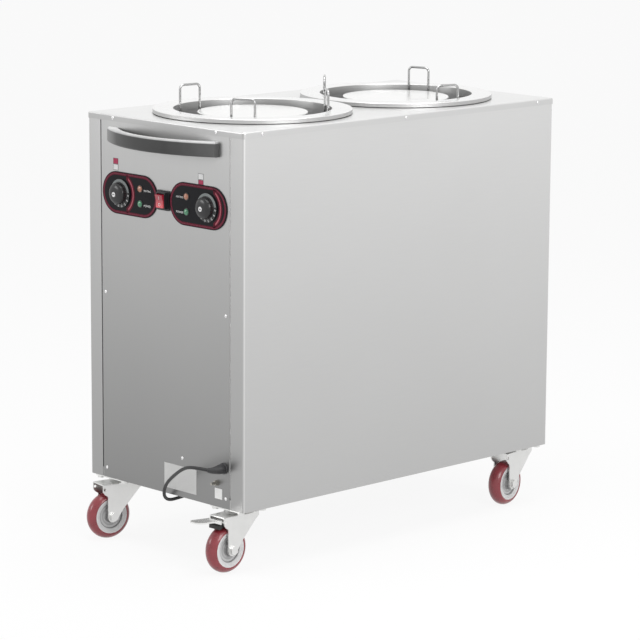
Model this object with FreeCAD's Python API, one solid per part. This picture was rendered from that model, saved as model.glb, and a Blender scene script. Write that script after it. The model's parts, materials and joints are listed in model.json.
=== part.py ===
"""Plate dispenser cart: two spring-lifted heated plate wells in a steel cabinet on four casters.

Millimetres, +Z up, the control end towards -Y. The origin is on the floor, under the middle of
the cart. Pieces are modelled from the front face at y = 0 and centred along Y when written.
"""
import FreeCAD, Part
import math
import os

Vector = FreeCAD.Vector
X_AXIS = Vector(1, 0, 0)
Y_AXIS = Vector(0, 1, 0)
Z_AXIS = Vector(0, 0, 1)

# Cabinet
cabinet_width = 484.0
cabinet_length = 920.0
cabinet_height = 776.0
caster_height = 134.0
deck_sheet = 1.5
deck_flange = 13.0
deck_edge_radius = 2.5
panel_sheet = 1.2
panel_corner_radius = 5.0
corner_return = 40.5
seam_gap = 3.0
seam_depth = 5.0
joggle_width = 22.0
fold_bend = 0.8
pan_sheet = 1.5
pan_flange = 20.0
lip_above_pan = 2.0
vent_length = 80.0
vent_width = 8.0
vent_count = 5
vent_pitch = 22.0

overcut = 1.0

# Screws
screw_head_radius = 3.6
screw_head_height = 1.6
screw_radius = 2.0
screw_length = 9.0
screw_clearance = 0.05
deck_screw_inset_x = 82.4
deck_screw_side_margin = 51.5
panel_screw_inset = 11.0
panel_screw_low = 21.0
panel_screw_mid = 400.0
extra_screw_x = 54.0
extra_screw_height = 83.0

# Wells: trim ring, drum and its slots
well_spacing = 425.5
ring_outer_radius = 209.0
ring_inner_radius = 166.0
ring_height = 10.0
ring_sheet = 2.0
ring_shadow_gap = 1.5
ring_edge_radius = 0.9
ring_collar_depth = 6.0
ring_collar_sheet = 1.2
ring_foot_offset = 4.0
drum_inner_radius = 168.0
drum_sheet = 1.2
drum_flange_radius = 182.0
drum_depth = 650.0
deck_hole_clearance = 1.6
slot_width = 30.0
slot_margin = 25.0
hanger_reach = 200.0
hanger_width = 20.0
hanger_sheet = 3.0
hanger_drop = 30.0

# Lift: platform, carriage and springs
platform_radius = 116.0
platform_sheet = 1.5
platform_rim = 8.0
platform_edge_radius = 2.4
platform_below_ring = 7.0
lift_travel = 400.0
carriage_height = 205.0
carriage_tube_radius = 20.0
carriage_tube_wall = 2.0
carriage_flange_radius = 55.0
carriage_flange_sheet = 3.0
arm_reach = 196.0
arm_width = 24.0
arm_sheet = 4.0
arm_hub_radius = 30.0
shoe_side_gap = 0.4
shoe_height = 40.0
shoe_inner_reach = 160.0
shoe_outer_reach = 178.0
spring_reach = 188.0
spring_radius = 7.0
spring_bore = 5.0
spring_end = 16.0
spring_end_wall = 2.0
spring_hook_radius = 1.2
seat_gap = 0.3

# Wire plate guides: each one's pivot bearing, photographed swing and rise above its ring
guide_wire_radius = 2.5
guide_width = 50.0
guide_foot_drop = 516.0
guide_corner_radius = 9.0
guide_pivot_radius = 158.0
guide_rest_angle = 9.1
guide_lug_width = 14.0
guide_lug_height = 12.0
guide_lug_reach = 5.5
guide_upper_lug_drop = 45.0
guide_lower_lug_drop = 480.0
guide_collar_radius = 4.6
guide_collar_height = 4.0
running_clearance = 0.05
front_guides = {"a": (212.0, 30.0, 42.0), "b": (319.0, 8.0, 35.0), "c": (63.0, 0.0, 36.0)}
rear_guides = {"a": (12.5, 24.5, 27.0), "b": (124.0, 10.0, 40.0), "c": (234.0, 0.0, 34.0)}
front_arm_bearings = (7.0, 127.0, 247.0)
rear_arm_bearings = (60.0, 180.0, 300.0)

# Heater under each drum
heater_pan_radius = 140.0
heater_pan_sheet = 1.5
heater_pan_rim = 12.0
heater_stand = 30.0
heater_leg_radius = 5.0
heater_leg_reach = 120.0
heater_ring_radius = 105.0
heater_tube_radius = 4.0
heater_tube_rise = 16.0
heater_gap_angle = 30.0

# Push handle
handle_half_length = 166.0
handle_height = 31.0
handle_centre_height = 735.5
handle_foot_depth = 11.0
handle_foot_length = 24.0
handle_bow = 47.0
handle_thickness = 14.0
handle_edge_radius = 4.5

# Controls, placed from the cabinet's centre line and its bottom edge
control_height = 615.0
fascia_centre_x = 106.0
fascia_length = 174.0
fascia_height = 89.0
fascia_thickness = 2.0
knob_centre_x = 134.5
knob_gap = 1.0
knob_skirt_radius = 30.0
knob_skirt_thickness = 2.5
knob_radius = 19.0
knob_tip_radius = 15.5
knob_depth = 18.0
knob_bore_depth = 12.0
knob_edge = 2.0
shaft_radius = 3.0
thermostat_size = 36.0
thermostat_depth = 28.0
thermostat_corner = 3.0
lamp_centre_x = 72.0
lamp_offset = 15.6
lamp_radius = 6.7
lamp_flange_radius = 8.0
lamp_flange_thickness = 1.0
lamp_dome = 4.0
lamp_stem_radius = 4.5
lamp_stem_length = 22.0
housing_plate_width = 37.0
housing_plate_height = 41.5
housing_plate_thickness = 3.0
housing_plate_corner = 3.0
housing_tower_width = 27.0
housing_tower_height = 35.0
housing_tower_depth = 10.5
housing_tower_corner = 2.0
housing_back_depth = 24.0
housing_wall = 2.5
housing_pocket_depth = 16.0
rocker_side_gap = 0.4
rocker_height = 27.0
rocker_pivot_depth = 5.0
rocker_valley = 8.0
rocker_crest = 10.0
rocker_back = 2.0
rocker_tilt = 7.0
rocker_pin_radius = 1.5
rocker_pin_length = 1.2
cutout_clearance = 0.1

# Low on the front panel
rating_plate_width = 100.0
rating_plate_height = 52.5
rating_plate_inset_x = 194.0
rating_plate_z = 39.0
rating_plate_thickness = 0.6
small_label_size = 22.0
small_label_inset_x = 76.5
small_label_z = 28.0
small_label_thickness = 0.4
earth_inset_x = 81.5
earth_z = 50.0
earth_stud_radius = 3.0
earth_root_radius = 3.2
earth_root_end = 0.6
earth_stud_length = 16.0
earth_nut_width = 10.0
earth_nut_thickness = 5.0
earth_washer_radius = 6.0
earth_washer_thickness = 1.6
earth_inner_length = 10.0
terminal_block_size = (60.0, 22.0, 24.0)
terminal_block_from_gland = 50.0
terminal_block_above_gland = 40.0
terminal_pitch = 18.75
terminal_screw_radius = 3.0
terminal_screw_depth = 6.0

# Cable gland and mains cord
cord_diameter = 7.0
gland_inset_x = 60.0
gland_z = 84.0
gland_flange_radius = 12.0
gland_flange_thickness = 4.0
gland_body_radius = 9.5
gland_body_length = 20.0
gland_nut_radius = 11.0
gland_nut_thickness = 5.0
gland_stem_radius = 7.5
gland_stem_length = 12.0
gland_nut_room = 2.0
boot_base_radius = 7.5
boot_tip_radius = 5.0
boot_bend_radius = 25.0
boot_bend = 40.0
boot_roll = 20.0
# Hand-placed corners of the lead after the boot's tip: from the coil's outer side towards the
# gland, which is lead_span away, from the front face, and from the cabinet's bottom edge
lead_span = 175.5
lead_corners = [
    (161.5, -49.3, 89.1), (148.3, -56.3, 90.0), (133.5, -57.4, 88.2), (114.9, -53.2, 82.0),
    (88.8, -46.6, 68.8), (51.1, -34.2, 45.8), (26.1, -24.6, 28.2), (11.0, -17.5, 9.5),
    (2.6, -8.5, -7.0), (-1.0, 8.0, -16.5), (-1.0, 36.0, -15.5), (0.6, 80.0, -11.2),
]
lead_last_run = 38.0
coil_turns_per_layer = 3
coil_pitch = 7.8
coil_mean_diameter = 81.0
coil_outer_x = 6.5
coil_centre_y = 175.0
coil_top_z = -10.0
coil_end_run = 34.0
arc_share = 0.45
hook_bearings = (45.0, 165.0, 285.0)
hook_sheet = 3.0
hook_width = 16.0
hook_leg_reach = 18.0
hook_foot_reach = 60.0
hook_lip = 8.0
plug_side_room = 2.5
plug_width = 34.0
plug_height = 25.0
plug_length = 38.0
plug_neck_radius = 6.5
plug_neck_length = 14.0
plug_neck_wall = 1.5
plug_pin_radius = 2.4
plug_pin_length = 19.0
plug_pin_spacing = 19.0
plug_edge_radius = 6.0

# Casters: bearing of the wheel's trail from +X, in degrees, and which ones have a brake
caster_inset_x = 59.0
caster_inset_y = 42.0
caster_headings = {"front_left": 260.5, "front_right": 271.4, "rear_left": 270.0, "rear_right": 278.3}
braked_casters = ("front_right", "rear_left")
caster_frame_height = 34.0
wheel_width = 32.0
caster_trail = 38.0
tread_crown = 10.0
tread_depth = 12.5
hub_face_half_width = 13.0
hub_recess_radius = 26.0
hub_recess = 3.0
hub_boss_radius = 13.0
hub_step = 2.0
hub_rim_wall = 3.0
hub_rim_inset = 1.0
axle_radius = 6.0
axle_nut_width = 17.0
axle_nut_thickness = 6.0
fork_sheet = 2.5
fork_gap = 39.0
swivel_drop = 9.0
fork_crown_radius = 31.0
fork_dish_height = 3.0
fork_dish_taper = 4.0
fork_fold_radius = 2.4
fork_front_u = -36.0
fork_back_u = 62.0
fork_lip_u = 57.5
fork_lip_drop = 25.5
fork_skirt_drop = 20.0
fork_leg_drop = 30.0
fork_foot_radius = 12.5
fork_shin_u = 13.0
fork_shin_rise = 14.0
fork_cheek_u = -26.0
fork_cheek_drop = 21.0
fork_brow_drop = 13.0
plate_length = 95.0
plate_width = 78.0
plate_sheet = 3.0
plate_corner_radius = 6.0
mount_plate_width = 70.0
race_radius = 24.0
race_rim = 2.0
race_taper = 3.0
kingpin_radius = 6.0
kingpin_head_radius = 10.0
kingpin_head_height = 4.0
bolt_spacing_x = 76.0
bolt_spacing_y = 60.0
bolt_radius = 4.0
bolt_head_width = 13.0
bolt_head_height = 5.0
bolt_end = 2.0
pedal_pin_u = 58.0
pedal_pin_drop = 14.0
pedal_pin_radius = 3.0
pedal_reach = 130.0
pedal_half_width = 17.0
pedal_sheet = 3.0
pedal_rise = 5.0
pedal_block_front = 8.0
pedal_block_back = 9.0
pedal_block_rise = 4.5
pedal_block_drop = 6.0
brake_shoe_gap = 4.4
brake_shoe_drop = 8.0
brake_shoe_side_inset = 2.0
brake_shoe_front_inset = 4.0
brake_shoe_back_overhang = 3.0

cord_radius = cord_diameter / 2
half_width = cabinet_width / 2
deck_top = caster_height + cabinet_height
deck_under = deck_top - deck_sheet
ring_top = deck_top + ring_height
panel_half = half_width - deck_sheet
face_y = deck_sheet
back_y = cabinet_length - deck_sheet
panel_back_y = face_y + panel_sheet
seam_x = half_width - corner_return
caster_x = half_width - caster_inset_x
gland_x = half_width - gland_inset_x
earth_x = half_width - earth_inset_x
wheel_radius = (caster_height - caster_frame_height) / 2
fork_crown_top = caster_height - swivel_drop
pedal_pin_z = fork_crown_top - pedal_pin_drop
hub_radius = wheel_radius - tread_depth
front_panel_half = seam_x - seam_gap
control_z = caster_height + control_height
well_centres = {
    "front": (cabinet_length - well_spacing) / 2,
    "rear": (cabinet_length + well_spacing) / 2,
}


def box(x0, x1, y0, y1, z0, z1):
    return Part.makeBox(x1 - x0, y1 - y0, z1 - z0, Vector(x0, y0, z0))


def rod(start, end, radius):
    start = Vector(*start)
    along = Vector(*end) - start
    return Part.makeCylinder(radius, along.Length, start, along)


def upright(x, y, z0, z1, radius):
    return rod((x, y, z0), (x, y, z1), radius)


def joined(solids):
    first = solids[0]
    return first.fuse(solids[1:]).removeSplitter() if len(solids) > 1 else first


def group(solids):
    return Part.makeCompound(solids)


def revolved(profile, centre=(0, 0, 0), axis=Z_AXIS):
    """Turn a closed (radius, height) outline about a vertical line, then tip it onto axis."""
    points = [Vector(r, 0, z) for r, z in profile]
    face = Part.Face(Part.makePolygon(points + points[:1]))
    solid = face.revolve(Vector(0, 0, 0), Z_AXIS, 360)
    solid.Placement = FreeCAD.Placement(Vector(*centre), FreeCAD.Rotation(Z_AXIS, axis))
    return solid


def extruded(points, along):
    face = Part.Face(Part.makePolygon(points + points[:1]))
    return face.extrude(along)


def edges_along(shape, axis, keep=lambda edge: True):
    """The straight edges parallel to axis that keep() accepts."""
    found = []
    for edge in shape.Edges:
        if edge.Curve.TypeId != "Part::GeomLine":
            continue
        ends = [vertex.Point for vertex in edge.Vertexes]
        if abs((ends[1] - ends[0]).normalize().dot(axis)) > 0.999 and keep(edge):
            found.append(edge)
    return found


def rounded_box(x0, x1, y0, y1, z0, z1, radius):
    block = box(x0, x1, y0, y1, z0, z1)
    return block.makeFillet(radius, edges_along(block, Z_AXIS))


def turned(shape, degrees, x=0.0, y=0.0):
    shape = shape.copy()
    shape.rotate(Vector(0, 0, 0), Z_AXIS, degrees)
    shape.translate(Vector(x, y, 0))
    return shape


def hexagon(width, height, base, axis):
    """A hexagonal prism, width across its flats, standing on base and rising along axis."""
    radius = width / math.sqrt(3)
    points = []
    for step in range(6):
        angle = math.radians(60 * step + 30)
        points.append(Vector(radius * math.cos(angle), radius * math.sin(angle), 0))
    prism = extruded(points, Vector(0, 0, height))
    prism.Placement = FreeCAD.Placement(Vector(*base), FreeCAD.Rotation(Z_AXIS, axis))
    return prism


# ---------------------------------------------------------------- screws

def screw_places():
    """Head seat and inward direction of every cabinet screw."""
    flange_z = deck_top - deck_flange / 2
    places = []
    for side in (-1, 1):
        x = side * (half_width - deck_screw_inset_x)
        places.append(((x, 0, flange_z), Y_AXIS))
        places.append(((x, cabinet_length, flange_z), Y_AXIS * -1))
        margins = (deck_screw_side_margin, cabinet_length / 2, cabinet_length - deck_screw_side_margin)
        for y in margins:
            places.append(((side * half_width, y, flange_z), X_AXIS * -side))
        for height in (panel_screw_low, panel_screw_mid):
            x = side * (front_panel_half - panel_screw_inset)
            places.append(((x, face_y, caster_height + height), Y_AXIS))
            places.append(((x, back_y, caster_height + height), Y_AXIS * -1))
    places.append(((extra_screw_x, face_y, caster_height + extra_screw_height), Y_AXIS))
    return places


def screw_holes():
    holes = []
    for seat, inward in screw_places():
        start = Vector(*seat) - inward * screw_head_height
        end = Vector(*seat) + inward * (screw_length + screw_radius)
        holes.append(rod(tuple(start), tuple(end), screw_radius + screw_clearance))
    return holes


def make_screws():
    solids = []
    for seat, inward in screw_places():
        outward = inward * -1
        profile = [(0, 0), (screw_head_radius, 0), (screw_head_radius, screw_head_height * 0.45),
                   (screw_head_radius * 0.6, screw_head_height), (0, screw_head_height)]
        head = revolved(profile, seat, outward)
        end = Vector(*seat) + inward * screw_length
        solids.append(joined([head, rod(seat, tuple(end), screw_radius)]))
    return group(solids)


# ---------------------------------------------------------------- cabinet

def make_side_panel(side):
    """Outer skin with its folded front and rear returns and the joggled landing for the panels."""
    z0 = caster_height
    z1 = deck_under
    outer = rounded_box(-panel_half, panel_half, face_y, back_y, z0, z1, panel_corner_radius)
    inner = rounded_box(-panel_half + panel_sheet, panel_half - panel_sheet, panel_back_y,
                        back_y - panel_sheet, z0, z1, panel_corner_radius - panel_sheet)
    skin = outer.cut(inner).common(box(seam_x, half_width, 0, cabinet_length, z0, z1))
    parts = [skin]
    lip_z0 = z0 + pan_flange + lip_above_pan
    for y0, y1, far0, far1 in (
            (face_y, face_y + seam_depth + panel_sheet, face_y + seam_depth,
             face_y + seam_depth + panel_sheet),
            (back_y - seam_depth - panel_sheet, back_y, back_y - seam_depth - panel_sheet,
             back_y - seam_depth)):
        parts.append(box(seam_x, seam_x + panel_sheet, y0, y1, lip_z0, z1))
        parts.append(box(seam_x - joggle_width, seam_x + panel_sheet, far0, far1, lip_z0, z1))
    panel = joined(parts)

    def on_fold(edge):
        point = edge.CenterOfMass
        outside = min(abs(point.y - face_y), abs(point.y - back_y)) < 0.01
        return outside and abs(point.x - seam_x) < 0.01 and edge.Length > 2 * pan_flange

    panel = panel.makeFillet(fold_bend, edges_along(panel, Z_AXIS, on_fold))
    if side < 0:
        return panel.mirror(Vector(0, 0, 0), X_AXIS).cut(screw_holes())
    gland_level = caster_height + gland_z
    notch = rod((gland_x, panel_back_y + seam_gap / 2, gland_level),
                (gland_x, face_y + seam_depth + seam_gap, gland_level), gland_nut_radius + gland_nut_room)
    return panel.cut(screw_holes() + [notch])


def make_end_panel(outer_y, inward):
    """Shallow tray that closes one end: a flat face with hems that sit on the side panels."""
    z0 = caster_height
    lip_z0 = z0 + pan_flange + lip_above_pan
    half = front_panel_half
    y_back = outer_y + inward * panel_sheet
    y_hem = outer_y + inward * seam_depth
    parts = [box(-half, half, min(outer_y, y_back), max(outer_y, y_back), z0, deck_under)]
    for side in (-1, 1):
        x0, x1 = sorted((side * half, side * (half - panel_sheet)))
        parts.append(box(x0, x1, min(outer_y, y_hem), max(outer_y, y_hem), lip_z0, deck_under))
    panel = joined(parts)

    def on_fold(edge):
        point = edge.CenterOfMass
        long_enough = edge.Length > 2 * pan_flange
        return long_enough and abs(point.y - outer_y) < 0.01 and abs(abs(point.x) - half) < 0.01

    panel = panel.makeFillet(fold_bend, edges_along(panel, Z_AXIS, on_fold))
    return panel.cut(screw_holes())


def through_panel(x, z, radius):
    return rod((x, face_y - overcut, z), (x, face_y + seam_depth, z), radius + cutout_clearance)


def make_front_panel():
    panel = make_end_panel(face_y, 1)
    cuts = []
    for side in (-1, 1):
        cuts.append(through_panel(side * knob_centre_x, control_z, shaft_radius))
        for offset in (-lamp_offset, lamp_offset):
            cuts.append(through_panel(side * lamp_centre_x, control_z + offset, lamp_stem_radius))
    half_x = housing_tower_width / 2 + cutout_clearance
    half_z = housing_tower_height / 2 + cutout_clearance
    cuts.append(box(-half_x, half_x, 0, face_y + seam_depth, control_z - half_z, control_z + half_z))
    cuts.append(through_panel(gland_x, caster_height + gland_z, gland_stem_radius))
    cuts.append(through_panel(earth_x, caster_height + earth_z, earth_root_radius))
    return panel.cut(cuts)


def make_top_deck():
    block = rounded_box(-half_width, half_width, 0, cabinet_length, deck_top - deck_flange, deck_top,
                        panel_corner_radius + deck_sheet)
    rim = [edge for edge in block.Edges if all(abs(v.Z - deck_top) < 0.01 for v in edge.Vertexes)]
    block = block.makeFillet(deck_edge_radius, rim)
    hollow = rounded_box(-panel_half, panel_half, face_y, back_y, deck_top - deck_flange, deck_under,
                         panel_corner_radius)
    deck = block.cut(hollow)
    radius = drum_inner_radius + drum_sheet + deck_hole_clearance
    holes = [upright(0, y, deck_under - overcut, deck_top + overcut, radius) for y in well_centres.values()]
    return deck.cut(holes + screw_holes())


def caster_places():
    places = {}
    for name in caster_headings:
        x = caster_x if name.endswith("right") else -caster_x
        y = caster_inset_y if name.startswith("front") else cabinet_length - caster_inset_y
        places[name] = (x, y)
    return places


def bolt_places():
    places = []
    for x, y in caster_places().values():
        for dx in (-bolt_spacing_x / 2, bolt_spacing_x / 2):
            for dy in (-bolt_spacing_y / 2, bolt_spacing_y / 2):
                places.append((x + dx, y + dy))
    return places


def bolt_holes(z0, z1):
    radius = bolt_radius + screw_clearance
    return [upright(x, y, z0, z1, radius) for x, y in bolt_places()]


def make_base_pan():
    z0 = caster_height
    inset = panel_sheet + screw_clearance
    half = panel_half - inset
    y0 = face_y + inset
    y1 = back_y - inset
    corner = panel_corner_radius - panel_sheet
    outer = rounded_box(-half, half, y0, y1, z0, z0 + pan_flange, corner)
    hollow = rounded_box(-half + pan_sheet, half - pan_sheet, y0 + pan_sheet, y1 - pan_sheet,
                         z0 + pan_sheet, z0 + pan_flange, corner - pan_sheet)
    cuts = bolt_holes(z0 - overcut, z0 + pan_sheet + overcut)
    cuts += [hole for hole in screw_holes() if hole.BoundBox.ZMax < z0 + 2 * pan_flange]
    for y in well_centres.values():
        for index in range(vent_count):
            middle = y + (index - (vent_count - 1) / 2) * vent_pitch
            cuts.append(box(-vent_length / 2, vent_length / 2, middle - vent_width / 2,
                            middle + vent_width / 2, z0 - overcut,
                            z0 + pan_sheet + overcut))
    return outer.cut([hollow] + cuts)


def make_mount_plates():
    """Stiffening plates inside the pan, over the casters."""
    z0 = caster_height + pan_sheet
    plates = []
    for x, y in caster_places().values():
        plates.append(box(x - plate_length / 2, x + plate_length / 2, y - mount_plate_width / 2,
                          y + mount_plate_width / 2, z0, z0 + plate_sheet))
    return [plate.cut(bolt_holes(z0 - overcut, z0 + plate_sheet + overcut)) for plate in plates]


def make_caster_bolts():
    head_z = caster_height - plate_sheet - bolt_head_height
    nut_z = caster_height + pan_sheet + plate_sheet
    bolts = []
    for x, y in bolt_places():
        bolts.append(joined([
            hexagon(bolt_head_width, bolt_head_height, (x, y, head_z), Z_AXIS),
            upright(x, y, head_z, nut_z + bolt_head_height + bolt_end, bolt_radius),
            hexagon(bolt_head_width, bolt_head_height, (x, y, nut_z), Z_AXIS)]))
    return bolts


# ---------------------------------------------------------------- wells

def make_well_ring(y):
    """Pressed trim ring: flat top, outer skirt, collar into the drum and two feet."""
    top = ring_top
    under = top - ring_sheet
    foot_in = drum_inner_radius + ring_foot_offset
    foot_out = drum_flange_radius + ring_foot_offset
    flange_top = deck_top + drum_sheet
    profile = [
        (ring_inner_radius, deck_top - ring_collar_depth), (ring_inner_radius, top),
        (ring_outer_radius, top), (ring_outer_radius, deck_top + ring_shadow_gap),
        (ring_outer_radius - ring_sheet, deck_top + ring_shadow_gap),
        (ring_outer_radius - ring_sheet, under), (foot_out + ring_sheet, under),
        (foot_out + ring_sheet, deck_top), (foot_out, deck_top), (foot_out, under),
        (foot_in + ring_sheet, under), (foot_in + ring_sheet, flange_top), (foot_in, flange_top),
        (foot_in, under), (ring_inner_radius + ring_collar_sheet, under),
        (ring_inner_radius + ring_collar_sheet, deck_top - ring_collar_depth)]
    ring = revolved(profile, (0, y, 0))
    rim = []
    for edge in ring.Edges:
        circle = edge.Curve.TypeId == "Part::GeomCircle"
        if circle and abs(edge.CenterOfMass.z - top) < 0.01 and not edge.isSeam(ring.Faces[0]):
            rim.append(edge)
    return ring.makeFillet(ring_edge_radius, rim)


def arm_bearings(well):
    return front_arm_bearings if well == "front" else rear_arm_bearings


def guides_of(well):
    return front_guides if well == "front" else rear_guides


def make_well_drum(well):
    y = well_centres[well]
    outer = drum_inner_radius + drum_sheet
    bottom = deck_top - drum_depth
    profile = [
        (drum_inner_radius, bottom), (drum_inner_radius, deck_top + drum_sheet),
        (drum_flange_radius, deck_top + drum_sheet), (drum_flange_radius, deck_top),
        (outer, deck_top), (outer, bottom)]
    drum = revolved(profile, (0, y, 0))
    slot_top = deck_top - carriage_height + slot_margin
    slot_bottom = deck_top - carriage_height - lift_travel - slot_margin
    cuts = []
    for bearing in arm_bearings(well):
        slot = box(shoe_inner_reach, shoe_outer_reach, -slot_width / 2, slot_width / 2,
                   slot_bottom, slot_top)
        cuts.append(turned(slot, bearing, 0, y))
    return drum.cut(cuts)


def make_well_brackets(well):
    """Lugs inside the drum that the guides turn in, and hangers outside it for the springs."""
    y = well_centres[well]
    outer = drum_inner_radius + drum_sheet
    wall = upright(0, 0, deck_top - drum_depth, deck_top, outer)
    inside = upright(0, 0, deck_top - drum_depth, deck_top, drum_inner_radius)
    brackets = []
    for bearing in arm_bearings(well):
        hanger = box(guide_pivot_radius, hanger_reach, -hanger_width / 2, hanger_width / 2,
                     deck_top - hanger_drop - hanger_sheet, deck_top - hanger_drop)
        brackets.append(turned(hanger.cut(wall), bearing, 0, y))
    for bearing, _swing, _rise in guides_of(well).values():
        for drop in (guide_upper_lug_drop, guide_lower_lug_drop):
            z1 = deck_top - drop
            z0 = z1 - guide_lug_height
            lug = box(guide_pivot_radius - guide_lug_reach, outer, -guide_lug_width / 2,
                      guide_lug_width / 2, z0, z1).common(inside)
            pin = upright(guide_pivot_radius, 0, z0 - overcut, z1 + overcut,
                          guide_wire_radius + running_clearance)
            brackets.append(turned(lug.cut(pin), bearing, 0, y))
    return group(brackets)


def make_plate_guide(well, key):
    """Closed wire loop turning on one upright leg; a collar on that leg rests on the upper lug."""
    bearing, swing, rise = guides_of(well)[key]
    y = well_centres[well]
    z0 = deck_top - guide_foot_drop
    z1 = ring_top + rise
    r = guide_corner_radius
    w = guide_width
    slant = r * math.cos(math.radians(45))
    k = r - slant

    def arc(a, b, c):
        return Part.Arc(Vector(*a), Vector(*b), Vector(*c)).toShape()

    def line(a, b):
        return Part.LineSegment(Vector(*a), Vector(*b)).toShape()

    wire = Part.Wire([
        line((0, 0, z0 + r), (0, 0, z1 - r)), arc((0, 0, z1 - r), (k, 0, z1 - k), (r, 0, z1)),
        line((r, 0, z1), (w - r, 0, z1)), arc((w - r, 0, z1), (w - k, 0, z1 - k), (w, 0, z1 - r)),
        line((w, 0, z1 - r), (w, 0, z0 + r)), arc((w, 0, z0 + r), (w - k, 0, z0 + k), (w - r, 0, z0)),
        line((w - r, 0, z0), (r, 0, z0)), arc((r, 0, z0), (k, 0, z0 + k), (0, 0, z0 + r))])
    section = Part.Wire(Part.makeCircle(guide_wire_radius, Vector(0, 0, z0 + r), Z_AXIS))
    loop = wire.makePipeShell([section], True, False)
    collar_z = deck_top - guide_upper_lug_drop + seat_gap
    collar = upright(0, 0, collar_z, collar_z + guide_collar_height, guide_collar_radius)
    guide = joined([loop, collar])
    pivot = math.radians(bearing)
    free_angle = bearing - 90 - (guide_rest_angle + swing)
    x = guide_pivot_radius * math.cos(pivot)
    return turned(guide, free_angle, x, y + guide_pivot_radius * math.sin(pivot))


# ---------------------------------------------------------------- lift

def make_plate_platform(y):
    top = ring_top - platform_below_ring
    wall = platform_sheet
    profile = [
        (0, top), (platform_radius, top), (platform_radius, top - platform_rim),
        (platform_radius - wall, top - platform_rim), (platform_radius - wall, top - wall),
        (0, top - wall)]
    platform = revolved(profile, (0, y, 0))
    rim = []
    for edge in platform.Edges:
        circle = edge.Curve.TypeId == "Part::GeomCircle"
        if circle and abs(edge.Curve.Radius - platform_radius) < 0.01:
            if abs(edge.CenterOfMass.z - top) < 0.01:
                rim.append(edge)
    return platform.makeFillet(min(platform_edge_radius, platform_rim / 2), rim)


def make_lift_carriage(well):
    """Column under the platform, a three-armed spider and the shoes that run in the drum's slots."""
    y = well_centres[well]
    top = ring_top - platform_below_ring - platform_sheet
    arm_z = deck_top - carriage_height
    inner = carriage_tube_radius - carriage_tube_wall
    profile = [
        (inner, arm_z), (inner, top), (carriage_flange_radius, top),
        (carriage_flange_radius, top - carriage_flange_sheet),
        (carriage_tube_radius, top - carriage_flange_sheet), (carriage_tube_radius, arm_z)]
    frame = [revolved(profile), upright(0, 0, arm_z, arm_z + arm_sheet, arm_hub_radius)]
    shoes = []
    for bearing in arm_bearings(well):
        arm = box(0, arm_reach, -arm_width / 2, arm_width / 2, arm_z, arm_z + arm_sheet)
        middle = arm_z + arm_sheet / 2
        half = slot_width / 2 - shoe_side_gap
        shoe = box(shoe_inner_reach, shoe_outer_reach, -half, half, middle - shoe_height / 2,
                   middle + shoe_height / 2)
        frame.append(turned(arm, bearing))
        shoes.append(turned(shoe.cut(arm), bearing))
    solids = [joined(frame)] + shoes
    for solid in solids:
        solid.translate(Vector(0, y, 0))
    return group(solids)


def make_lift_springs(well):
    """Three extension springs at rest, from the drum's hangers down to the carriage's arms."""
    y = well_centres[well]
    top = deck_top - hanger_drop - hanger_sheet
    bottom = deck_top - carriage_height + arm_sheet
    springs = []
    for bearing in arm_bearings(well):
        body = upright(spring_reach, 0, bottom + spring_end, top - spring_end, spring_radius)
        bore = upright(spring_reach, 0, bottom + spring_end + spring_end_wall,
                       top - spring_end - spring_end_wall, spring_bore)
        hooks = [upright(spring_reach, 0, bottom + seat_gap, bottom + spring_end + overcut,
                         spring_hook_radius),
                 upright(spring_reach, 0, top - spring_end - overcut, top - seat_gap,
                         spring_hook_radius)]
        spring = joined([body.cut(bore)] + hooks)
        springs.append(turned(spring, bearing, 0, y))
    return group(springs)


def make_heater(well):
    """Reflector pan on three legs and an open ring of tubular element on its own stems."""
    y = well_centres[well]
    floor = caster_height + pan_sheet
    pan_z = floor + heater_stand
    pan = upright(0, 0, pan_z, pan_z + heater_pan_rim, heater_pan_radius)
    hollow = upright(0, 0, pan_z + heater_pan_sheet, pan_z + heater_pan_rim,
                     heater_pan_radius - heater_pan_sheet)
    legs = []
    for bearing in arm_bearings(well):
        legs.append(turned(upright(heater_leg_reach, 0, floor, pan_z, heater_leg_radius), bearing))
    tray = joined([pan.cut(hollow)] + legs)
    tube_z = pan_z + heater_pan_sheet + heater_tube_rise
    sweep = 360 - heater_gap_angle
    section = Part.Face(Part.Wire(Part.makeCircle(heater_tube_radius,
                                                  Vector(heater_ring_radius, 0, tube_z), Y_AXIS)))
    ring = section.revolve(Vector(0, 0, 0), Z_AXIS, sweep)
    stems = []
    for angle in (0, sweep / 2, sweep):
        stem = upright(heater_ring_radius, 0, pan_z + heater_pan_sheet, tube_z, heater_tube_radius)
        stems.append(turned(stem, angle))
    element = turned(joined([ring] + stems), heater_gap_angle / 2)
    solids = [tray, element]
    for solid in solids:
        solid.translate(Vector(0, y, 0))
    return group(solids)


# ---------------------------------------------------------------- handle and controls

def bowed_outline(half_length, depth, bow):
    """Arc that bulges to -Y between two points at +-half_length, depth in front of the face."""
    start = Vector(-half_length, face_y - depth, 0)
    middle = Vector(0, face_y - depth - bow, 0)
    end = Vector(half_length, face_y - depth, 0)
    return Part.Arc(start, middle, end).toShape()


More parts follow.
